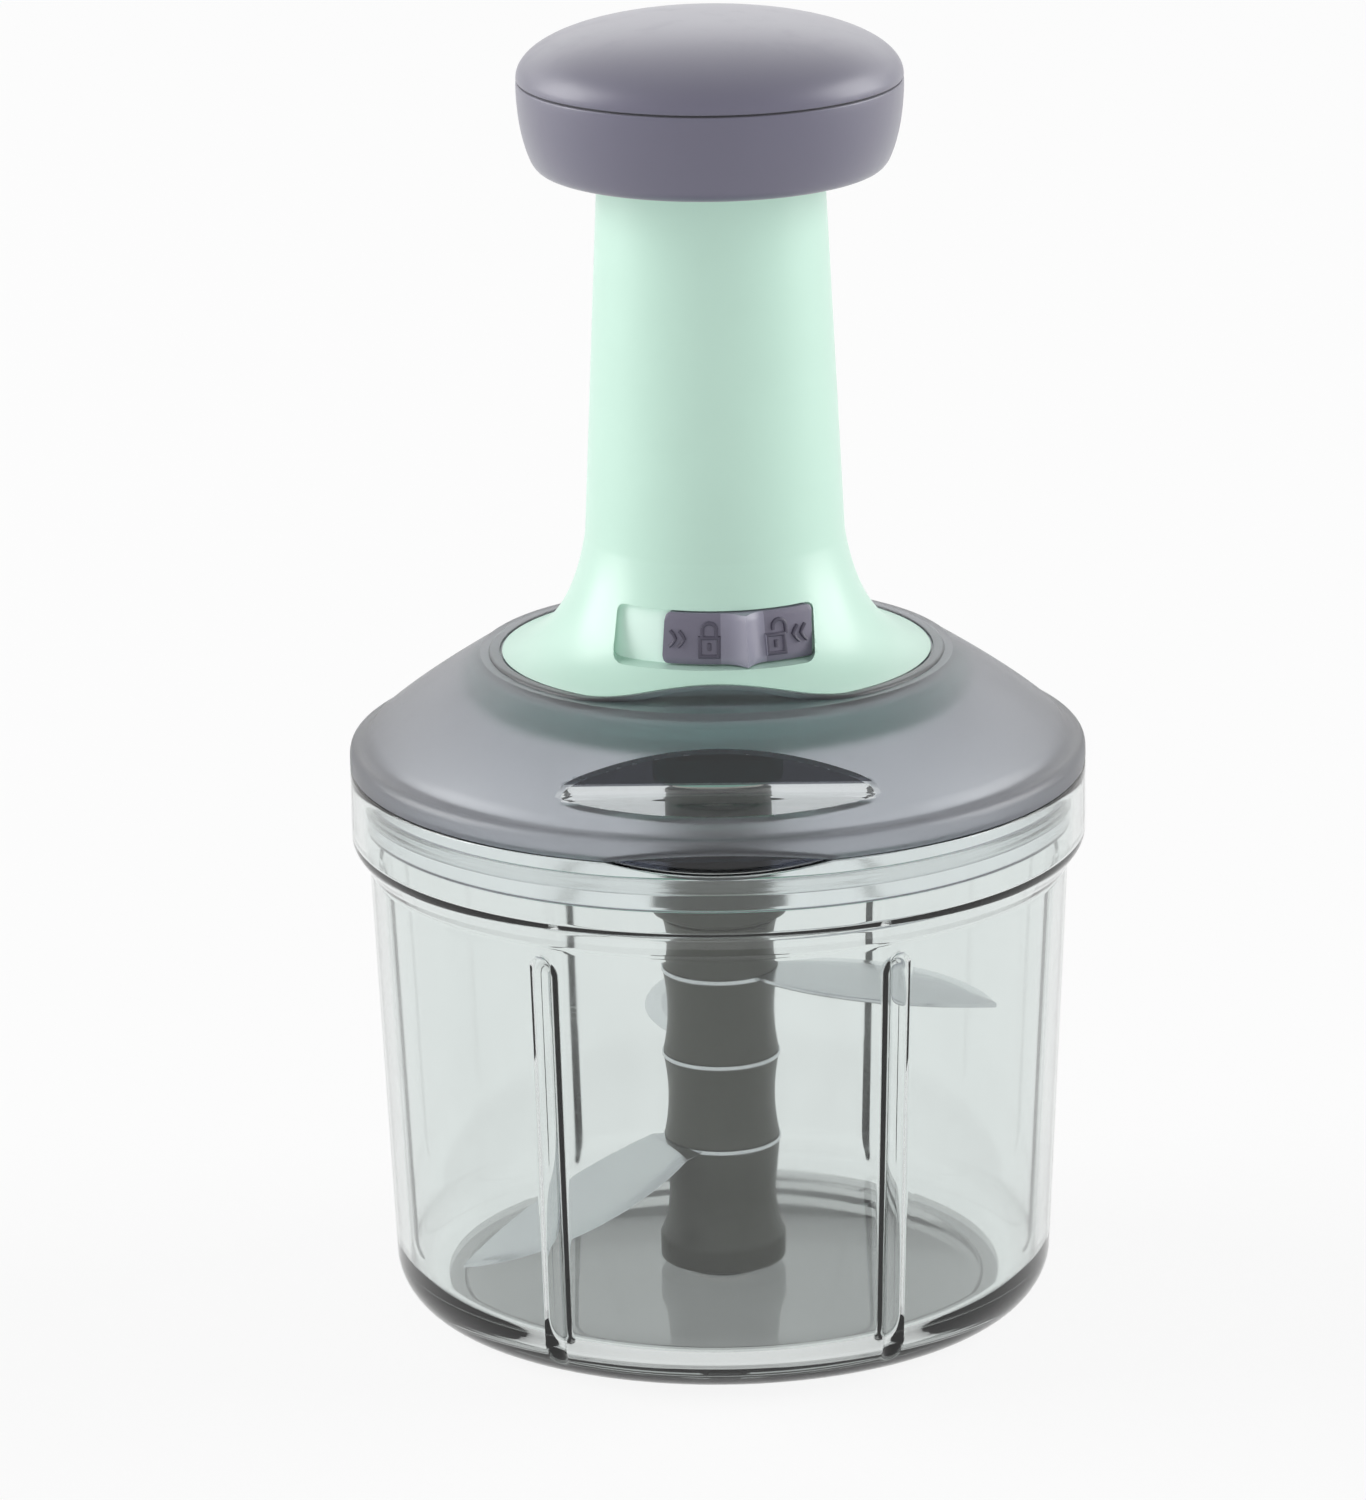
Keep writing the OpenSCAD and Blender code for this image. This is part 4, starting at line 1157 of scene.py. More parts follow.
    def scoop_side(self, grow: float) -> list[Point]:
        """Side view of the finger scoop, grown all round: its floor, rounding and leaning wall."""
        z, y, r = self.scoop_z - grow, -self.scoop_y + grow, self.scoop_round + grow
        curve = arc((y - r, z + r), r, self.scoop_fall - 90, -self.scoop_lean, 12)
        fall = (curve[0][0] + self.scoop_front) * math.tan(math.radians(self.scoop_fall))
        lean = self.scoop_rise * math.tan(math.radians(self.scoop_lean))
        return [(-self.scoop_front, curve[0][1] - fall)] + curve + [(y + lean, z + self.scoop_rise)]

    def scoop(self, grow: float) -> Piece:
        """Prism of the finger scoop, grown all round by the given amount."""
        side = self.scoop_side(grow)
        side.append((side[0][0], side[-1][1]))
        return prism("scoop", side, Axis.X, -self.scoop_half, self.scoop_half)

    def hollow(self) -> Piece:
        """Space under the lid, less the wall round the scoop."""
        skirt_in = self.skirt_r - self.wall
        low = self.deck_z - self.wall
        bottom = self.rim_z - self.hollow_sink
        start = (skirt_in, self.rim_z + self.rim_h + self.hollow_start)
        inset = self.hollow_pull * self.wall
        pull = (self.crown_pull[0] - inset, self.crown_pull[1] - inset)
        outline = [(0, bottom), (skirt_in, bottom)]
        outline += bend(start, pull, (self.deck_r, low - self.hollow_ease[1]), 28)
        outline += [(self.deck_r - self.hollow_ease[0], low), (0, low)]
        space = turned("lid_hollow", outline, self.segments, closed=False)
        carve(space, self.scoop(self.wall))
        return space

    def bead(self) -> Piece:
        """Bead round the foot of the housing, thinner over the brow."""
        sink, inner = self.bead_sink, self.bead_in
        outline = eased([(inner, -sink, 0), (self.bead_w, -sink, 0),
                         (self.bead_w, self.bead_h, self.bead_round),
                         (inner, self.bead_h, self.bead_in_round), (inner, self.bead_set - sink, 0)], 5)

        def shape(angle: float, r: float, z: float, index: int) -> Point:
            """Follows the foot's edge and thins out at the front."""
            edge_r, edge_z = self.edge.at(angle)
            front = min((edge_z - self.deck_z) / self.front_rise, 1.0)
            width = 1 + (self.front_bead_w / self.bead_w - 1) * front
            rise = 1 + (self.front_bead_h / self.bead_h - 1) * front
            return edge_r + self.bead_gap + self.bead_set + r * width, edge_z + (z * rise if z > 0 else z)

        return turned("lid_bead", outline, self.segments, shape=shape)

    def notch_tool(self) -> Piece:
        """Wide cylinder that bites the finger notch into the front rim."""
        radius = self.notch.radius()
        middle = self.rim_z + self.notch.depth - radius
        ring = arc((0, middle), radius, 0, 360 - 360 / self.notch_sides, self.notch_sides - 1)
        tool = prism("lid_notch", ring, Axis.Y, *self.notch_y)
        keep_r = self.skirt_r + self.keep_gap
        carve(tool, plug("skirt_keep", (keep_r, middle - radius - 1), (keep_r, self.keep_top), self.segments))
        return tool

    def shell(self) -> Piece:
        """Makes the lid's shell.

        Returns:
            The shell.
        """
        lid = self.body()
        for tool in (self.hollow(), self.scoop(0), self.notch_tool(),
                     plug("deck_hole", (self.hole_r, self.rim_z), (self.hole_r, self.hole_top), 144)):
            carve(lid, tool)
        carve(lid, self.bead(), Cut.JOIN)
        ease_edges(lid, self.edge_round)
        # Marks for the scoop's polish and painted highlight, and for the painted shade on its wall.
        mark_faces(lid, "scoop_polish_and_highlight", self.in_scoop)
        mark_faces(lid, "scoop_wall_shade", lambda face: self.in_scoop(face) and abs(face.normal.z) < self.upright)
        return dress(lid, Body.LID, Slot.SMOKE, ["lid"], SMOKE)

    def in_scoop(self, face: bpy.types.MeshPolygon) -> bool:
        """Tells whether a face lies in the finger scoop."""
        here = Vector((face.center.y / MM, face.center.z / MM))
        for grow, out in ((0.0, 1.0), (self.wall, -1.0)):
            side = [Vector(p) for p in self.scoop_side(grow)]
            for first, last in zip(side, side[1:]):
                along = last - first
                share = min(max((here - first).dot(along) / along.length_squared, 0.0), 1.0)
                if (first + share * along - here).length < self.scoop_near:
                    return out * face.normal.z > self.floor_tilt or out * face.normal.y < -self.wall_tilt
        return False

    def skirt(self) -> Piece:
        """Makes the pale ring under the lid with the groove of its seal.

        Returns:
            The ring.
        """
        outer, inner, groove_r = self.skirt_r, self.skirt_r - self.wall, self.skirt_r - self.seal_d
        top = self.rim_z - self.skirt_gap
        low, high = self.seal_z - self.seal_h / 2, self.seal_z + self.seal_h / 2
        outline = eased([(inner, top, 0), (inner, self.skirt_low, self.skirt_round),
                         (outer, self.skirt_low, self.skirt_round), (outer, low, self.groove_round),
                         (groove_r, low, 0), (groove_r, high, 0), (outer, high, self.groove_round),
                         (outer, top, 0)])
        ring = turned("lid_skirt_ring", outline, self.segments)
        return dress(ring, Body.LID, Slot.SMOKE, [], SKIRT)

    def tab(self) -> Piece:
        """Makes the deep-toned tab behind the finger notch.

        Returns:
            The tab.
        """
        inner, outer = self.skirt_r + self.tab_in, self.skirt_r + self.tab_out
        half = self.notch.width / 2 + self.tab_over
        sections = []
        for share in spread(-1, 1, 40):
            x = half * share
            reach = max(1 - (x / half) ** 2, self.tab_least)
            low, high = self.rim_z - self.tab_low * reach, self.rim_z + self.tab_high * reach
            ease = self.tab_ease * reach
            angle = math.degrees(math.asin(x / outer))
            corners = ((inner, low), (outer, low + ease), (outer, high - ease), (inner, high))
            sections.append([spot(angle, r, z) for r, z in corners])
        return dress(lofted("rim_finger_tab", sections), Body.LID, Slot.SMOKE, [], SMOKE_TAB)

    def seal(self) -> Piece:
        """Makes the seal with its two soft lips.

        Returns:
            The seal.
        """
        inner, outer, foot = self.seal_in, self.seal_out, self.seal_out - self.lip_foot
        low = self.seal_z - self.seal_h / 2 + self.seal_play
        high = self.seal_z + self.seal_h / 2 - self.seal_play
        rise = high - low
        outline = eased([(inner, low, 0), (foot, low, 0.1), (outer, low + 0.2 * rise, self.lip_round),
                         (outer - self.lip_dip, low + 0.5 * rise, 0.3),
                         (outer, low + 0.8 * rise, self.lip_round), (foot, high, 0.1), (inner, high, 0)])
        seal = turned("lid_seal_ring", outline, 200)
        return dress(seal, Body.LID, Slot.SILICONE, ["lid_seal"], SILICONE)

    def build(self) -> list[Piece]:
        """Makes every piece of the lid."""
        return [self.shell(), self.skirt(), self.tab(), self.seal()]


@dataclass
class Housing:
    """Flared mint housing with its recess, the plate under the lid and the guide sleeve."""

    edge: FootEdge = FootEdge()
    deck_z: float = 128.6
    top_z: float = 224.0
    top_r: float = 21.3
    rim_h: float = 0.8
    rim_round: float = 0.6
    rim_in_round: float = 0.3
    mouth: Point = (0.05, 1.0)
    bore_r: float = 22.0
    bore_z: float = 132.9
    top_bore_r: float = 19.1
    rows: int = 40
    lift: float = 0.3
    foot_steps: tuple[Point, Point, Point] = ((9.0, 1.7), (2.6, 0.0), (0.5, 0.0))
    edge_round: float = 0.35
    recess_r: float = 25.5
    recess_lean: float = 0.27
    recess_low: float = 133.3
    recess_high: float = 143.2
    recess_left: Point = (19.5, 18.35)
    recess_right: Point = (18.5, 18.2)
    recess_corner: float = 1.8
    recess_y: Point = (-10.0, -48.0)
    recess_over: float = 9.0
    recess_near: float = 0.12
    recess_play: float = 0.5
    slot_half: float = 17.5
    slot_low: float = 135.95
    slot_high: float = 140.55
    slot_in: float = 21.4
    slot_low_r: float = 29.5
    slot_high_r: float = 28.5
    bush_r: float = 6.1
    spigot_r: float = 19.9
    plate_top: float = 126.2
    plate_low: float = 122.7
    plate_flat_r: float = 43.0
    plate_r: float = 47.0
    plate_rim: Point = (119.7, 123.2)
    well_r: float = 10.5
    well_wall: float = 2.0
    well_low: float = 102.0
    sleeve_bore: float = 17.1
    sleeve_r: float = 19.0
    sleeve_low: float = 182.3
    collar_r: float = 21.0
    collar_h: float = 2.0

    def window(self) -> Piece:
        """Round-cornered block that cuts the slider's recess straight back to its curved floor."""
        low, high, corner, over = self.recess_low, self.recess_high, self.recess_corner, self.recess_over
        left, right = self.recess_left, self.recess_right
        ring = eased([(0, low, 0), (right[0], low, corner), (right[1], high, corner),
                      (-left[1], high, corner), (-left[0], low, corner), (-0.5, low, 0)], 8)
        tool = prism("recess_window", ring, Axis.Y, *self.recess_y)
        top_r = self.recess_r - over * self.recess_lean
        low_r = self.recess_r + (high - low + over) * self.recess_lean
        carve(tool, plug("recess_floor", (low_r, low - over), (top_r, high + over), 288))
        return tool

    def slot(self) -> Piece:
        """Slot in the recess's floor for the lock's neck."""
        corners = ((self.slot_in, self.slot_low), (self.slot_low_r, self.slot_low),
                   (self.slot_high_r, self.slot_high), (self.slot_in, self.slot_high))
        return swept("neck_slot", corners, -self.slot_half, self.slot_half, 24)

    def shell(self) -> Piece:
        """Makes the housing's shell.

        Returns:
            The shell.
        """
        rows, edge, neck_z = self.rows, self.edge, self.top_z - self.rim_h
        tube = list(zip(spread(edge.low_r, self.top_r, 12), spread(edge.flare_z, neck_z, 12)))[1:]
        rim = eased([(self.top_r, neck_z, 0), (self.top_r, self.top_z, self.rim_round),
                     (self.top_bore_r, self.top_z, self.rim_in_round),
                     (self.top_bore_r + self.mouth[0], self.top_z - self.mouth[1], 0)])
        inside = [(self.bore_r, edge.flare_z), (self.bore_r, self.bore_z)]
        foot = [(edge.flare_r - back, self.deck_z + up) for back, up in self.foot_steps]
        outline = [edge.point(i / rows) for i in range(rows + 1)] + tube + rim[1:] + inside + foot
        foot_at = len(outline) - len(foot)

        def shape(angle: float, r: float, z: float, index: int) -> Point:
            """Starts the flare at the foot's edge and draws the inside in with it."""
            if index <= rows:
                share = edge.share(angle)
                here = edge.point(share + (1 - share) * index / rows)
                return here[0], here[1] + self.lift * (1 - index / rows)
            if index >= foot_at:
                return r * edge.at(angle)[0] / edge.flare_r, z
            return r, z

        shell = turned("housing_shell", outline, 288, shape=shape)
        carve(shell, self.window())
        carve(shell, self.slot())
        ease_edges(shell, self.edge_round)
        # The recess floor takes the lighter mint, which is painted light.
        for face in shell.data.polygons:
            face.material_index = 1 if self.on_recess_floor(face.center) else 0
        return dress(shell, Body.LID, Slot.MINT, ["housing"], MINT, MINT_LIT_FLOOR)

    def on_recess_floor(self, here: Vector) -> bool:
        """Tells whether a point lies on the floor of the slider's recess."""
        z = here.z / MM
        floor_r = self.recess_r + (self.recess_high - z) * self.recess_lean
        near = abs(math.hypot(here.x, here.y) / MM - floor_r) < self.recess_near
        low, high = self.recess_low - self.recess_play, self.recess_high + self.recess_play
        return near and here.y < 0 and low < z < high

    def plate(self) -> Piece:
        """Makes the plate under the lid with the well round the coupler.

        Returns:
            The plate.
        """
        low, top, well_out = self.plate_low, self.plate_top, self.well_r + self.well_wall
        rim_low, rim_high = self.plate_rim
        outline = eased([(self.bush_r, self.deck_z, 0), (self.spigot_r, self.deck_z, 0.3),
                         (self.spigot_r, top, 0.2), (self.plate_flat_r, top, 0.5),
                         (self.plate_r, rim_high, 0.4), (self.plate_r, rim_low, 0.5),
                         (self.plate_flat_r, low, 0.6), (well_out, low, 0.8), (well_out, self.well_low, 0.5),
                         (self.well_r, self.well_low, 0.5), (self.well_r, low, 0.3), (self.bush_r, low, 0)])
        plate = turned("base_plate_disc", outline, 160)
        return dress(plate, Body.LID, Slot.MINT, ["base_plate"], MINT_PLATE)

    def sleeve(self) -> Piece:
        """Makes the guide sleeve in the top of the tube.

        Returns:
            The sleeve.
        """
        bore, low, high = self.sleeve_bore, self.sleeve_low, self.top_z + self.collar_h
        outline = eased([(bore, low, 0.3), (self.sleeve_r, low, 0.2), (self.sleeve_r, self.top_z, 0),
                         (self.collar_r, self.top_z, 0.2), (self.collar_r, high, 0.6), (bore, high, 0.5),
                         (bore, low + 0.5, 0)])
        sleeve = turned("guide_sleeve_ring", outline)
        return dress(sleeve, Body.LID, Slot.DARK, ["guide_sleeve"], DARK)

    def build(self) -> list[Piece]:
        """Makes every piece of the housing."""
        return [self.shell(), self.plate(), self.sleeve()]


@dataclass
class PressCap:
    """Grey cap with its seam, skirt and plunger."""

    radius: float = 36.25
    seam_z: float = 239.3
    seam_gap: float = 0.35
    seam_round: float = 0.3
    seam_skip: int = 3
    rise: float = 11.5
    power: float = 2.15
    wall: float = 2.2
    segments: int = 192
    skirt_low: float = 222.3
    taper: float = 4.9
    side_top: float = 1.6
    side_pull: Point = (36.0, 229.6)
    side_end: Point = (33.9, 224.6)
    under_r: float = 32.93
    foot_w: float = 1.4
    lip_gap: float = 0.6
    lip_w: float = 1.8
    lip_h: float = 1.6
    lip_low: float = 2.0
    ledge_w: float = 1.6
    shelf_z: float = 228.1
    shelf_r: float = 22.7
    plate_z: float = 230.6
    plate_top: float = 233.1
    plate_r: float = 30.05
    plunger_r: float = 16.8
    plunger_low: float = 131.0
    plunger_in: float = 14.5
    flange_r: float = 17.9
    flange_h: float = 3.0
    groove: Point = (135.25, 141.25)
    groove_d: float = 1.0
    nut_ledge: Point = (156.0, 160.0)
    nut_r: float = 9.7

    def dome(self) -> Piece:
        """Makes the cap's dome.

        Returns:
            The dome.
        """
        in_r = self.radius - self.wall
        outer = dome(self.radius, self.seam_z, self.rise, self.power, 64)
        inner = dome(in_r, self.seam_z, self.rise - self.wall, self.power, 32)
        edge = [(in_r, self.seam_z, 0), (self.radius, self.seam_z, self.seam_round)]
        outline = eased(edge + sharp(outer[self.seam_skip:])) + list(reversed(inner))
        piece = turned("cap_dome_shell", outline, self.segments, closed=False)
        return dress(piece, Body.HANDLE, Slot.GREY, ["cap_dome"], GREY)

    def skirt(self) -> Piece:
        """Makes the cap's skirt with the shelf inside.

        Returns:
            The skirt.
        """
        top, low = self.seam_z - self.seam_gap, self.skirt_low
        foot = self.radius - self.taper
        edge = foot - self.foot_w
        lip = self.radius - self.wall - self.lip_gap
        lip_in, lip_top = lip - self.lip_w, self.seam_z + self.lip_h
        side = bend((self.radius, top - self.side_top), self.side_pull, self.side_end, 16)
        under = bend(self.side_end, (self.under_r, low), (foot, low), 8)[1:]
        corners = [(lip, top, 0), (self.radius, top, self.seam_round)] + sharp(side + under)
        corners += [(edge, low, 0.5), (edge, self.shelf_z, 0.5), (self.shelf_r, self.shelf_z, 0.3),
                    (self.shelf_r, self.plate_z, 0.3), (lip - self.ledge_w, self.plate_z, 0.3),
                    (lip_in, self.seam_z - self.lip_low, 0), (lip_in, lip_top, 0.2), (lip, lip_top, 0.2),
                    (lip, top + 0.01, 0)]
        piece = turned("cap_skirt_shell", eased(corners), self.segments)
        return dress(piece, Body.HANDLE, Slot.GREY, ["cap_skirt"], GREY)

    def plunger(self) -> Piece:
        """Makes the plunger with its stop flange, catch groove and top plate.

        Returns:
            The plunger.
        """
        low, r, inner = self.plunger_low, self.plunger_r, self.plunger_in
        flange_top, groove_r = low + self.flange_h, r - self.groove_d
        groove_low, groove_high = self.groove
        ledge_low, ledge_high = self.nut_ledge
        corners = [(inner, low, 0.3), (self.flange_r, low, 0.3), (self.flange_r, flange_top, 0.3),
                   (r, flange_top, 0.3), (r, groove_low, 0.2), (groove_r, groove_low, 0.2),
                   (groove_r, groove_high, 0.2), (r, groove_high, 0.2), (r, self.plate_z, 0.6),
                   (self.plate_r, self.plate_z, 0.3), (self.plate_r, self.plate_top, 0.3),
                   (inner, self.plate_top, 0.3), (inner, ledge_high, 0), (self.nut_r, ledge_high, 0),
                   (self.nut_r, ledge_low, 0), (inner, ledge_low, 0), (inner, low + 0.5, 0)]
        piece = turned("plunger_tube", eased(corners))
        return dress(piece, Body.HANDLE, Slot.GREY, ["plunger"], GREY)

    def build(self) -> list[Piece]:
        """Makes every piece of the cap."""
        return [self.dome(), self.skirt(), self.plunger()]


@dataclass
class LockSlider:
    """Curved lock slider with a thumb ridge and raised marks on each pad."""

    low: float = 133.6
    high: float = 142.9
    start: float = -20.2
    end: float = 40.5
    inner_r: float = 25.8
    inner_lean: float = 0.27
    foot_r: float = 29.6
    top_r: float = 27.7
    corner: float = 1.0
    edge_w: float = 0.45
    edge_d: float = 0.35
    columns: int = 60
    rows: int = 14
    right_x: float = 17.9
    right_far: float = 60.0
    right_over: float = 5.0
    ridge_at: float = 10.5
    ridge_half: float = 8.6
    ridge_r: float = 30.5
    ridge_foot_r: float = 33.0
    ridge_power: float = 2.3
    neck_half: float = 6.0
    neck_in: float = 21.4
    neck_low: Point = (28.2, 136.25)
    neck_high: Point = (27.2, 140.25)
    crease: float = 40.0
    pad_depth: float = 0.6
    mark_least: float = 0.12
    mark_h: float = 0.55
    mark_sink: float = 0.3
    shut_at: Point = (-2.6, -14.6)
    open_at: Point = (22.6, 32.6)
    open_swing: float = 0.9
    lock_half: float = 1.75
    lock_low: float = -3.1
    lock_top: float = 0.3
    line_w: float = 0.75
    keyhole: Point = (-2.0, -0.7)
    keyhole_w: float = 0.8
    shackle_r: float = 1.3
    shackle_z: float = 1.75
    shackle_h: float = 1.25
    shackle_share: float = 0.92
    chevron: tuple[Point, ...] = ((-0.6, 1.5), (0.1, 0.75), (0.5, 0.0), (0.1, -0.75), (-0.6, -1.5))
    chevron_shift: float = 0.85
    chevron_w: float = 0.6

    def face_r(self, z: float) -> float:
        """Radius of the pads at a height."""
        return self.foot_r + (self.top_r - self.foot_r) * (z - self.low) / (self.high - self.low)

    def outer_r(self, angle: float, z: float) -> float:
        """Radius of the slider's face at a place."""
        away = min(abs(angle - self.ridge_at) / self.ridge_half, 1.0)
        share = (z - self.low) / (self.high - self.low)
        nose = self.ridge_foot_r + (self.ridge_r - self.ridge_foot_r) * share
        lift = (1 - away) ** self.ridge_power
        return self.face_r(z) + (nose - self.face_r(z)) * lift

    def plate(self) -> Piece:
        """Curved plate of the slider with its ridge."""
        turn = math.degrees(self.corner / self.top_r)
        ends = [turn * (1 - math.cos(math.radians(t))) for t in spread(0, 90, 6)]
        first, last = self.start + turn, self.end - turn
        columns = [self.start + e for e in ends] + [self.end - e for e in ends] + [self.ridge_at]
        sections = []
        for angle in sorted(columns + spread(first, last, self.columns)[1:-1]):
            reach = max(0.0, max(first - angle, angle - last)) / turn
            drop = self.corner * (1 - math.sqrt(max(1 - min(reach, 1.0) ** 2, 0.0)))
            low, high = self.low + drop, self.high - drop
            ring = []
            for z in spread(low, high, self.rows):
                edge = max(0.0, 1 - min(z - low, high - z) / self.edge_w)
                ring.append(spot(angle, self.outer_r(angle, z) - self.edge_d * edge ** 2, z))
            for z in (high, low):
                ring.append(spot(angle, self.inner_r + (self.high - z) * self.inner_lean, z))
            sections.append(ring)
        return lofted("lock_slider_plate", sections)

    def neck(self) -> Piece:
        """Neck that reaches through the housing to the tongue."""
        inner, low, high = self.neck_in, self.neck_low, self.neck_high
        corners = ((inner, low[1]), low, high, (inner, high[1]))
        return swept("lock_neck", corners, self.ridge_at - self.neck_half, self.ridge_at + self.neck_half, 8)

    def on_pad(self, middle: float, u: float, v: float, h: float) -> Spot:
        """Place over a pad: u to the right, v up from its middle and h out, in millimetres."""
        z = (self.low + self.high) / 2 + v
        angle = middle + math.degrees(u / self.face_r(z))
        return spot(angle, self.outer_r(angle, z) + h, z)

    def stroke(self, middle: float, path: Sequence[Point], width: float, looped: bool = False,
               share: float = 1.0) -> Piece:
        """Raised stroke with mitred corners along a path on a pad.

        Args:
            middle: angle of the pad's middle.
            path: points to the right of and above that middle.
            width: width of the stroke.
            looped: joins the path's last point to its first.
            share: share of the marks' full height.

        Returns:
            The stroke.
        """
        high = self.mark_h * share
        side = [(0.4, high), (0.8, 0.8 * high), (1.0, -self.mark_sink)]
        rim = [(-s, h) for s, h in reversed(side)] + side
        spots = [Vector(p) for p in path]
        legs = [(after - here).normalized() for here, after in zip(spots, spots[1:] + spots[:1])]
        if not looped:
            legs[-1] = legs[-2]
        sections = []
        for k, here in enumerate(spots):
            back = legs[k - 1] if k or looped else legs[0]
            along = (back + legs[k]).normalized()
            across = Vector((-along.y, along.x)) * width / 2 / along.dot(legs[k])
            sections.append([self.on_pad(middle, *(here + across * s), h) for s, h in rim])
        return lofted("mark_stroke", sections, looped)

    def padlock(self, middle: float, swing: float) -> list[Piece]:
        """Padlock mark, with its shackle moved aside by swing when it is open."""
        half, low, top, r = self.lock_half, self.lock_low, self.lock_top, self.shackle_r
        body = [(-half, low), (half, low), (half, top), (-half, top)]
        turns = [math.radians(t) for t in spread(0, 180, 12)]
        bow = [(r * math.cos(t) + swing, self.shackle_z + self.shackle_h * math.sin(t)) for t in turns]
        shackle = [(r + swing, top)] + bow + [(swing - r, top + swing)]
        return [
            self.stroke(middle, body, self.line_w, looped=True),
            self.stroke(middle, [(0, v) for v in self.keyhole], self.keyhole_w),
            self.stroke(middle, shackle, self.line_w, share=self.shackle_share),
        ]

    def chevrons(self, middle: float, point: float) -> list[Piece]:
        """Two chevrons that point to the given side."""
        shifts = (-self.chevron_shift, self.chevron_shift)
        paths = [[(shift + u * point, v) for u, v in self.chevron] for shift in shifts]
        return [self.stroke(middle, path, self.chevron_w) for path in paths]

    def build(self) -> list[Piece]:
        """Makes the slider and its marks.

        Returns:
            The slider alone.
        """
        plate, near, far = self.plate(), self.right_x, self.right_far
        corners = [(near, -far), (far, -far), (far, 0.0), (near, 0.0)]
        low, high = self.low - self.right_over, self.high + self.right_over
        carve(plate, prism("right_end", corners, Axis.Z, low, high))
        carve(plate, self.neck(), Cut.JOIN)
        marks = self.padlock(self.shut_at[0], 0.0) + self.chevrons(self.shut_at[1], 1.0)
        marks += self.padlock(self.open_at[0], self.open_swing) + self.chevrons(self.open_at[1], -1.0)
        for mark in marks:
            carve(plate, mark, Cut.JOIN)
        smooth(plate, self.crease)
        for face in plate.data.polygons:
            x, y, z = face.center
            angle = math.degrees(math.atan2(x, -y))
            r = math.hypot(x, y) / MM
            on_pad = abs(angle - self.ridge_at) > self.ridge_half and r > self.top_r - self.pad_depth
            raised = r > self.outer_r(angle, z / MM) + self.mark_least
            face.material_index = (2 if raised else 1) if on_pad else 0
        return [dress(plate, Body.LOCK, Slot.GREY, ["lock_slider"], NOSE, PAD, PAD_MARK)]


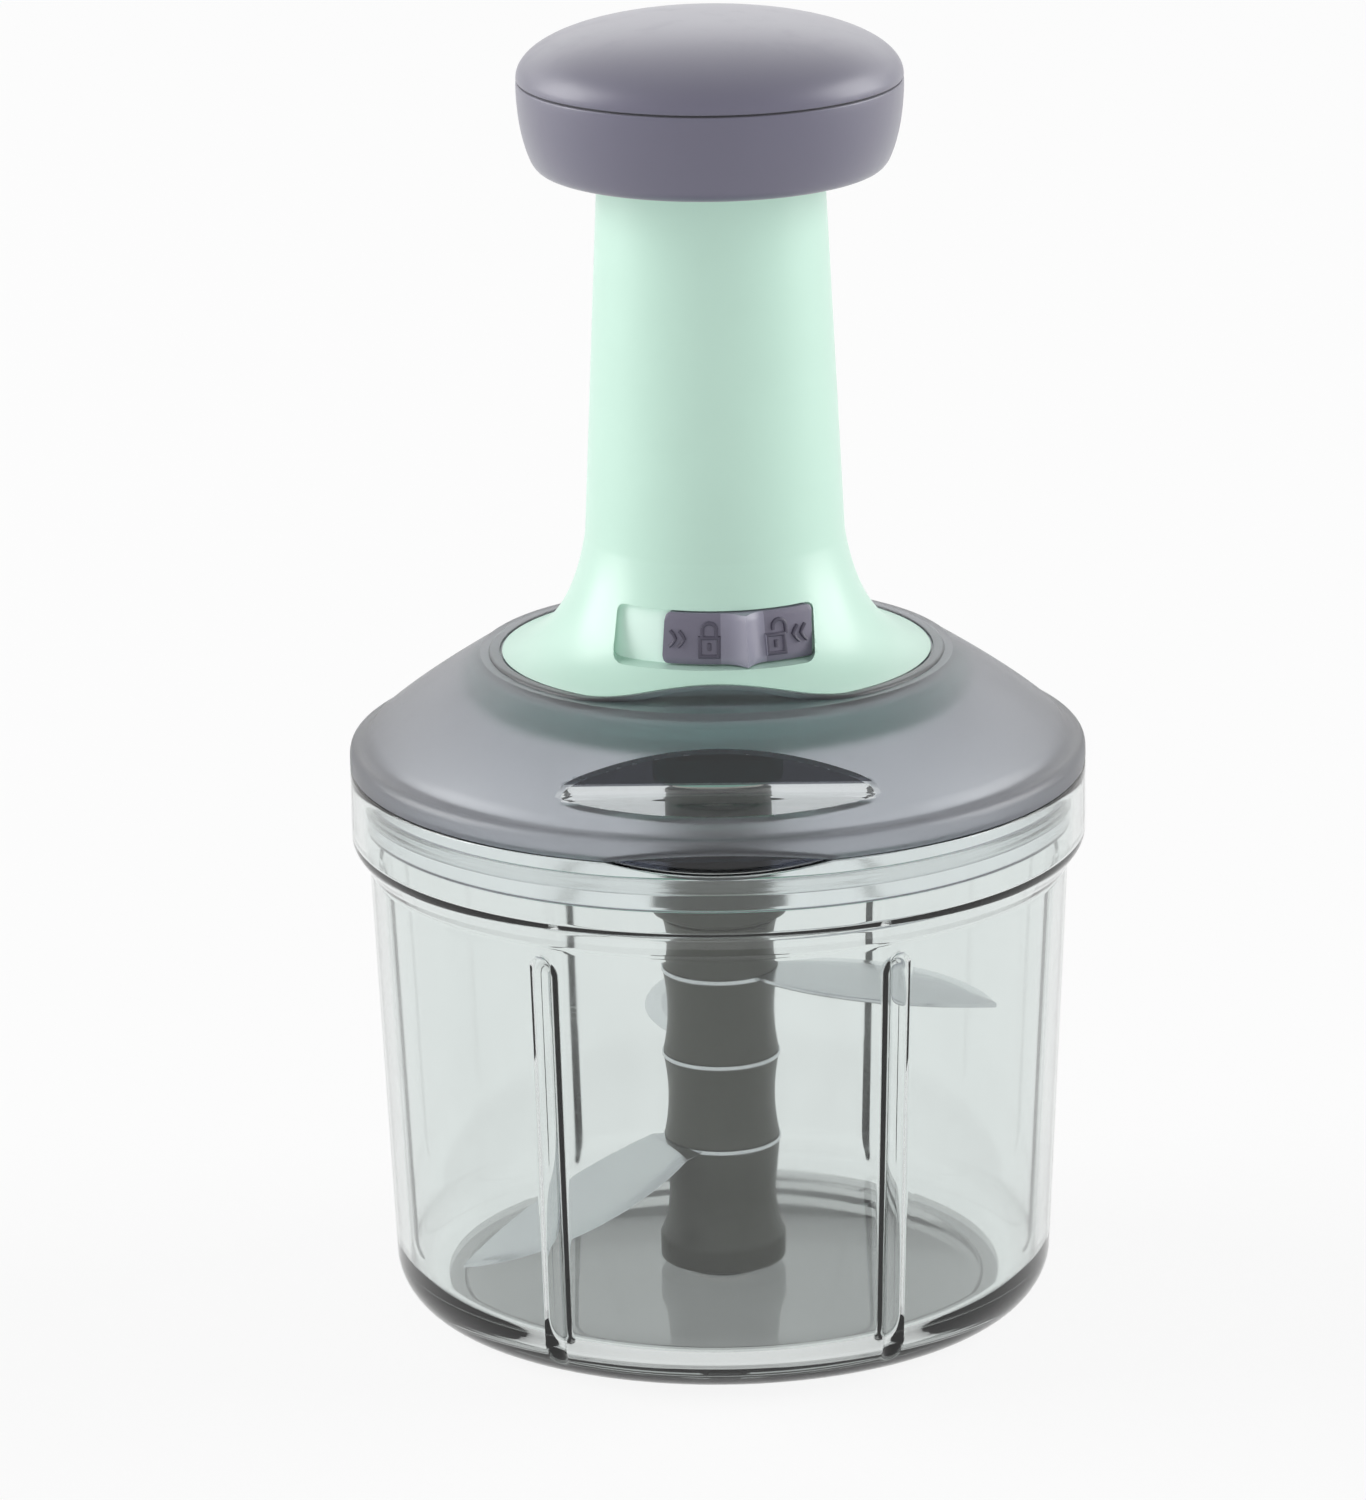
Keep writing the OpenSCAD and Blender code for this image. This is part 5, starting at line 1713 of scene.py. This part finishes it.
@dataclass
class BladeUnit:
    """Shaft of waisted segments with three leaf-shaped blades."""

    core_r: float = 3.6
    shaft_r: float = 11.2
    shaft_round: float = 0.3
    waist: float = 0.9
    segments: int = 128
    foot_low: float = 6.5
    foot_r: float = 12.1
    foot_h: float = 5.0
    foot_pull: float = 3.0
    foot_ease: float = 1.0
    bush_r: float = 5.1
    bush_top: float = 21.8
    bush_cone: float = 24.5
    splash_z: float = 76.4
    splash_h: float = 4.0
    splash_r: float = 13.0
    splash_fall: float = 1.0
    neck_r: float = 10.2
    top_z: float = 98.0
    socket_r: float = 6.7
    socket_z: float = 84.4
    blade_z: float = 30.5
    step: float = 17.2
    turns: Spot = (-66.0, 180.0, 63.0)
    blade_t: float = 0.8
    root: float = 8.0
    tip: float = 0.25
    reach: float = 58.0
    lead_w: float = 15.0
    back_w: float = 8.0
    hub_r: float = 11.4
    hub_clear: float = 0.3
    bend_r: float = 12.2
    bend_ease: float = 1.2
    droop: float = 24.0
    shares: tuple[float, ...] = (0.0, 0.004, 0.15, 0.3, 0.45, 0.6, 0.72)
    thin: float = 0.55
    ground_w: float = 3.2
    ground_share: float = 0.3
    lead_share: float = 0.3
    ground_tilt: float = 0.995
    edge_t: float = 0.04
    crease: float = 12.0

    def segment(self, low: float, high: float) -> list[Spot]:
        """Outside of a waisted segment with eased ends."""
        r = self.shaft_r
        curve = bend((r, low), (r - 2 * self.waist, (low + high) / 2), (r, high), 18)
        return [(r, low, self.shaft_round)] + sharp(curve[1:-1]) + [(r, high, self.shaft_round)]

    def shaft_piece(self, name: str, node: str, corners: Sequence[Spot]) -> Piece:
        """Makes one piece of the shaft from the corners of its outline."""
        piece = turned(name, eased(corners), self.segments)
        return dress(piece, Body.BLADES, Slot.DARK, [node], DARK)

    def spacer(self, name: str, node: str, low: float, high: float) -> Piece:
        """Makes one plain segment of the shaft."""
        corners = [(self.core_r, low, 0)] + self.segment(low, high) + [(self.core_r, high, 0)]
        return self.shaft_piece(name, node, corners)

    def head(self) -> Piece:
        """Makes the top of the shaft with its splash flange and hexagon socket."""
        low = self.blade_z + 2 * self.step + self.blade_t
        flange, top, neck = self.splash_z, self.splash_z + self.splash_h, self.neck_r
        corners = [(self.core_r, self.socket_z, 0), (self.core_r, low, 0)]
        corners += self.segment(low, flange - self.splash_fall)
        corners += [(neck, flange, 0.3), (self.splash_r, flange, 0.9), (self.splash_r, top, 1.2),
                    (neck, top, 0.5), (neck, self.top_z, 0.8), (self.socket_r, self.top_z, 0.4),
                    (self.socket_r, self.socket_z, 0)]
        return self.shaft_piece("shaft_head", "shaft_top", corners)

    def foot(self) -> Piece:
        """Makes the flared foot of the shaft."""
        low, flare, waist = self.foot_low, self.foot_low + self.foot_h, self.shaft_r - self.waist
        middle = (waist, (flare + self.blade_z) / 2)
        curve = bend((self.foot_r, flare), (waist, flare + self.foot_pull), middle, 12)
        corners = [(self.core_r, self.bush_cone, 0), (self.bush_r, self.bush_top, 0), (self.bush_r, low, 0.2),
                   (self.foot_r, low, 0.6), (self.foot_r, flare - self.foot_ease, 0)] + sharp(curve)
        corners += [(self.shaft_r, self.blade_z, self.shaft_round), (self.core_r, self.blade_z, 0)]
        return self.shaft_piece("shaft_foot_flare", "shaft_foot", corners)

    def edge(self, x: float, width: float) -> float:
        """Half width of a wing at a distance from the shaft."""
        return arch(x - self.reach / 2, self.reach / 2, width)

    def bent(self, x: float, y: float, z: float, droop: float) -> Spot:
        """Place of a blade's point after its wing is bent down."""
        over = x - self.bend_r
        if droop == 0 or over <= -self.bend_ease:
            return (x * MM, y * MM, z * MM)
        share = min(1.0, (over + self.bend_ease) / (2 * self.bend_ease))
        turn = math.radians(droop) * share
        along = max(over, 0.0)
        return ((self.bend_r + min(over, 0.0) + along * math.cos(turn) + z * math.sin(turn)) * MM, y * MM,
                (z * math.cos(turn) - along * math.sin(turn)) * MM)

    def wing(self, name: str, droop: float) -> Piece:
        """Wing of a blade with its ground cutting edge, bent down by an angle."""
        half_t, thin_t = self.blade_t / 2, self.blade_t / 2 * self.thin
        sections = []
        for x in spread(self.root, self.reach - self.tip, 72):
            lead, back = self.edge(x, self.lead_w), self.edge(x, self.back_w)
            width = lead + back
            ground = min(self.ground_w, self.ground_share * width)
            across = [-back + (width - ground) * s / self.shares[-1] for s in self.shares]
            top = [(across[0], thin_t)] + [(y, half_t) for y in across[1:]]
            top += [(lead - ground * 0.5, thin_t), (lead, self.edge_t)]
            ring = [self.bent(x, y, h, droop) for y, h in top]
            sections.append(ring + [self.bent(x, y, -h, droop) for y, h in reversed(top)])
        return lofted(name, sections)

    def blade(self, name: str, node: str, z: float, turn: float, droop: float = 0.0) -> Piece:
        """Makes one blade with its hub.

        Args:
            name: name of the piece.
            node: node that it stands for.
            z: height of its underside.
            turn: side that its wing turns to.
            droop: angle that its wing bends down.

        Returns:
            The blade.
        """
        half_t = self.blade_t / 2
        wing = self.wing(name, droop)
        hub = eased([(self.core_r, -half_t, 0), (self.hub_r, -half_t, 0.1), (self.hub_r, half_t, 0.1),
                     (self.core_r, half_t, 0)], 2)
        carve(wing, turned("hub", hub, 96), Cut.JOIN)
        smooth(wing, self.crease)
        for face in wing.data.polygons:
            x, y = face.center[0] / MM, face.center[1] / MM
            on_wing = math.hypot(x, y) > self.hub_r + self.hub_clear
            near_edge = y > self.lead_share * self.edge(x, self.lead_w)
            tilted = droop == 0 and abs(face.normal.z) < self.ground_tilt
            face.material_index = 1 if on_wing and near_edge and tilted else 0
        wing.matrix_world = (Matrix.Translation((0, 0, (z + half_t) * MM))
                             @ Matrix.Rotation(math.radians(turn - 90), 4, "Z"))
        bpy.context.view_layer.update()
        return dress(wing, Body.BLADES, Slot.BLADE, [node], BLADE, EDGE)

    def build(self) -> list[Piece]:
        """Makes every piece of the blade unit."""
        low, middle, upper = (self.blade_z + k * self.step for k in range(3))
        return [
            self.head(),
            self.spacer("upper_segment", "upper_spacer", middle + self.blade_t, upper),
            self.spacer("lower_segment", "lower_spacer", low + self.blade_t, middle),
            self.foot(),
            self.blade("upper_leaf_blade", "upper_blade", upper, self.turns[2]),
            self.blade("middle_leaf_blade", "middle_blade", middle, self.turns[1]),
            self.blade("lower_leaf_blade", "lower_blade", low, self.turns[0], self.droop),
        ]


@dataclass
class ReturnSpring:
    """Coil of round wire between the plate and the ledge under the nut."""

    low: float = 129.3
    high: float = 155.2
    mean_r: float = 10.5
    wire: float = 1.4
    turns: int = 9
    rings: int = 28
    sides: int = 10

    def build(self) -> list[Piece]:
        """Makes the coil.

        Returns:
            The coil alone.
        """
        sections = []
        for i, z in enumerate(spread(self.low, self.high, self.turns * self.rings)):
            ring = arc((self.mean_r, z), self.wire / 2, 0, 360 - 360 / self.sides, self.sides - 1)
            sections.append([spot(360 * i / self.rings, r, h) for r, h in ring])
        coil = lofted("return_coil", sections)
        coil.data.materials.append(STEEL.material())
        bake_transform(coil)
        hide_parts("return_spring")
        return [coil]


@dataclass
class Lamp:
    """Soft rectangular lamp aimed at the object, with its place and size in metres."""

    name: str
    place: Spot
    size: Point
    watts: float
    in_gloss: bool = True

    def build(self, aim: Vector) -> None:
        """Adds the lamp, aimed at a point."""
        light = bpy.data.lights.new(self.name, "AREA")
        light.shape = "RECTANGLE"
        light.size, light.size_y = self.size
        light.energy = self.watts
        lamp = bpy.data.objects.new(self.name, light)
        lamp.location = self.place
        lamp.visible_glossy = self.in_gloss
        lamp.visible_camera = False
        lamp.visible_transmission = False
        lamp.rotation_euler = (aim - Vector(self.place)).to_track_quat("-Z", "Y").to_euler()
        bpy.context.scene.collection.objects.link(lamp)


LAMPS = (
    Lamp("left_lamp", (-2.6, 0.4, 1.2), (2.0, 2.3), 67.0),
    Lamp("right_lamp", (2.6, 0.46, 1.15), (2.0, 2.2), 58.0),
    Lamp("back_lamp", (0.0, 3.1, 1.4), (3.1, 1.3), 10.8),
    Lamp("back_left_lamp", (-1.9, 2.1, 1.5), (1.4, 1.4), 4.5),
    Lamp("back_right_lamp", (1.9, 2.1, 1.5), (1.4, 1.4), 4.5),
    Lamp("front_lamp", (0.25, -4.7, 0.55), (3.6, 1.0), 72.0, in_gloss=False),
)


@dataclass
class Studio:
    """White floor, soft lamps, world and camera, placed in metres."""

    camera_place: Spot = (0.0, -1.4583, 0.5379)
    pitch: float = 16.41
    yaw: float = -0.26
    roll: float = -0.76
    focus_px: float = 7956.7
    image_h: float = 1500.0
    sensor: float = 36.0
    sight: float = 50.0
    aim: Spot = (0.0, 0.0, 0.12)
    ambient: float = 0.255
    ambient_blue: float = 1.01
    floor_size: float = 12.0
    floor_z: float = -0.0002
    floor_glow: float = 0.88
    floor_greys: Point = (0.86, 0.88)
    mottle_scale: float = 6.0

    def camera(self) -> None:
        """Sets the camera at the picture's angle."""
        pitch, yaw, roll = (math.radians(a) for a in (self.pitch, self.yaw, self.roll))
        ahead = Vector((math.sin(yaw) * math.cos(pitch), math.cos(yaw) * math.cos(pitch), -math.sin(pitch)))
        right = Vector((math.cos(yaw), -math.sin(yaw), 0))
        up = right.cross(ahead)
        side = right * math.cos(roll) + up * math.sin(roll)
        top = up * math.cos(roll) - right * math.sin(roll)
        data = bpy.data.cameras.new("camera")
        data.sensor_width = self.sensor
        data.lens = self.focus_px / self.image_h * self.sensor
        data.clip_end = self.sight
        eye = bpy.data.objects.new("camera", data)
        turn = Matrix((side, top, -ahead)).transposed()
        eye.matrix_world = Matrix.Translation(self.camera_place) @ turn.to_4x4()
        bpy.context.scene.collection.objects.link(eye)
        bpy.context.scene.camera = eye

    def seen(self, graph: Graph) -> Wire:
        """1 for rays that show the background: from the camera, off gloss or through clear plastic."""
        kinds = ("Is Camera Ray", "Is Glossy Ray", "Is Transmission Ray")
        rays = [graph.add("ShaderNodeLightPath", output=kind) for kind in kinds]
        return rays[0].either(rays[1]).either(rays[2])

    def world(self) -> None:
        """White surroundings that light the object softly."""
        world = bpy.data.worlds.new("studio")
        world.use_nodes = True
        graph = Graph(world.node_tree)
        soft = (self.ambient, self.ambient, self.ambient * self.ambient_blue, 1)
        colour = graph.mix(self.seen(graph), soft, (1, 1, 1, 1))
        shader = graph.add("ShaderNodeBackground", None, {"Color": colour, "Strength": 1.0})
        graph.add("ShaderNodeOutputWorld", None, {"Surface": shader})
        bpy.context.scene.world = world

    def floor(self) -> None:
        """Pale floor that keeps the object's soft shadow."""
        half = self.floor_size / 2
        corners = [(-half, -half, 0), (half, -half, 0), (half, half, 0), (-half, half, 0)]
        mesh = bpy.data.meshes.new("floor")
        mesh.from_pydata(corners, [], [(0, 1, 2, 3)])
        floor = bpy.data.objects.new("floor", mesh)
        floor.location.z = self.floor_z
        bpy.context.scene.collection.objects.link(floor)
        material = bpy.data.materials.new("floor_white")
        material.use_nodes = True
        graph = Graph(material.node_tree)
        mottle = graph.noise(graph.place(), self.mottle_scale, 2)
        colour = graph.mix(mottle, *((grey, grey, grey, 1) for grey in self.floor_greys))
        matt = graph.add("ShaderNodeBsdfDiffuse", None, {"Color": colour})
        glow = graph.add("ShaderNodeEmission", None, {"Color": (1, 1, 1, 1), "Strength": 1.0})
        share = self.seen(graph) * self.floor_glow
        mixed = graph.add("ShaderNodeMixShader", None, {0: share, 1: matt, 2: glow})
        graph.add("ShaderNodeOutputMaterial", None, {"Surface": mixed})
        mesh.materials.append(material)

    def build(self) -> None:
        """Sets up the whole studio."""
        self.camera()
        self.world()
        self.floor()
        for lamp in LAMPS:
            lamp.build(Vector(self.aim))
        bpy.context.scene.view_settings.view_transform = "Standard"


def dress_nodes() -> None:
    """Gives every node that still shows a finish for its slot."""
    slots = {part["node"]: Slot(part["material_slot"]) for part in frame["record"]["subparts"]}
    for name, node in frame["nodes"].items():
        if node.hide_render or name not in slots or not node.material_slots:
            continue
        finish = SLOT_FINISHES[slots[name]].material()
        for place in node.material_slots:
            place.material = finish
        LOG.info("%s dressed in %s", name, finish.name)


def main() -> None:
    """Builds the studio and every piece."""
    logging.basicConfig(level=logging.INFO, format="%(message)s")
    Studio().build()
    for assembly in (Bowl(), Lid(), Housing(), PressCap(), LockSlider(), BladeUnit(), ReturnSpring()):
        for piece in assembly.build():
            LOG.info("%s has %s", type(assembly).__name__, piece.name)
    dress_nodes()


if __name__ == "__main__":
    main()
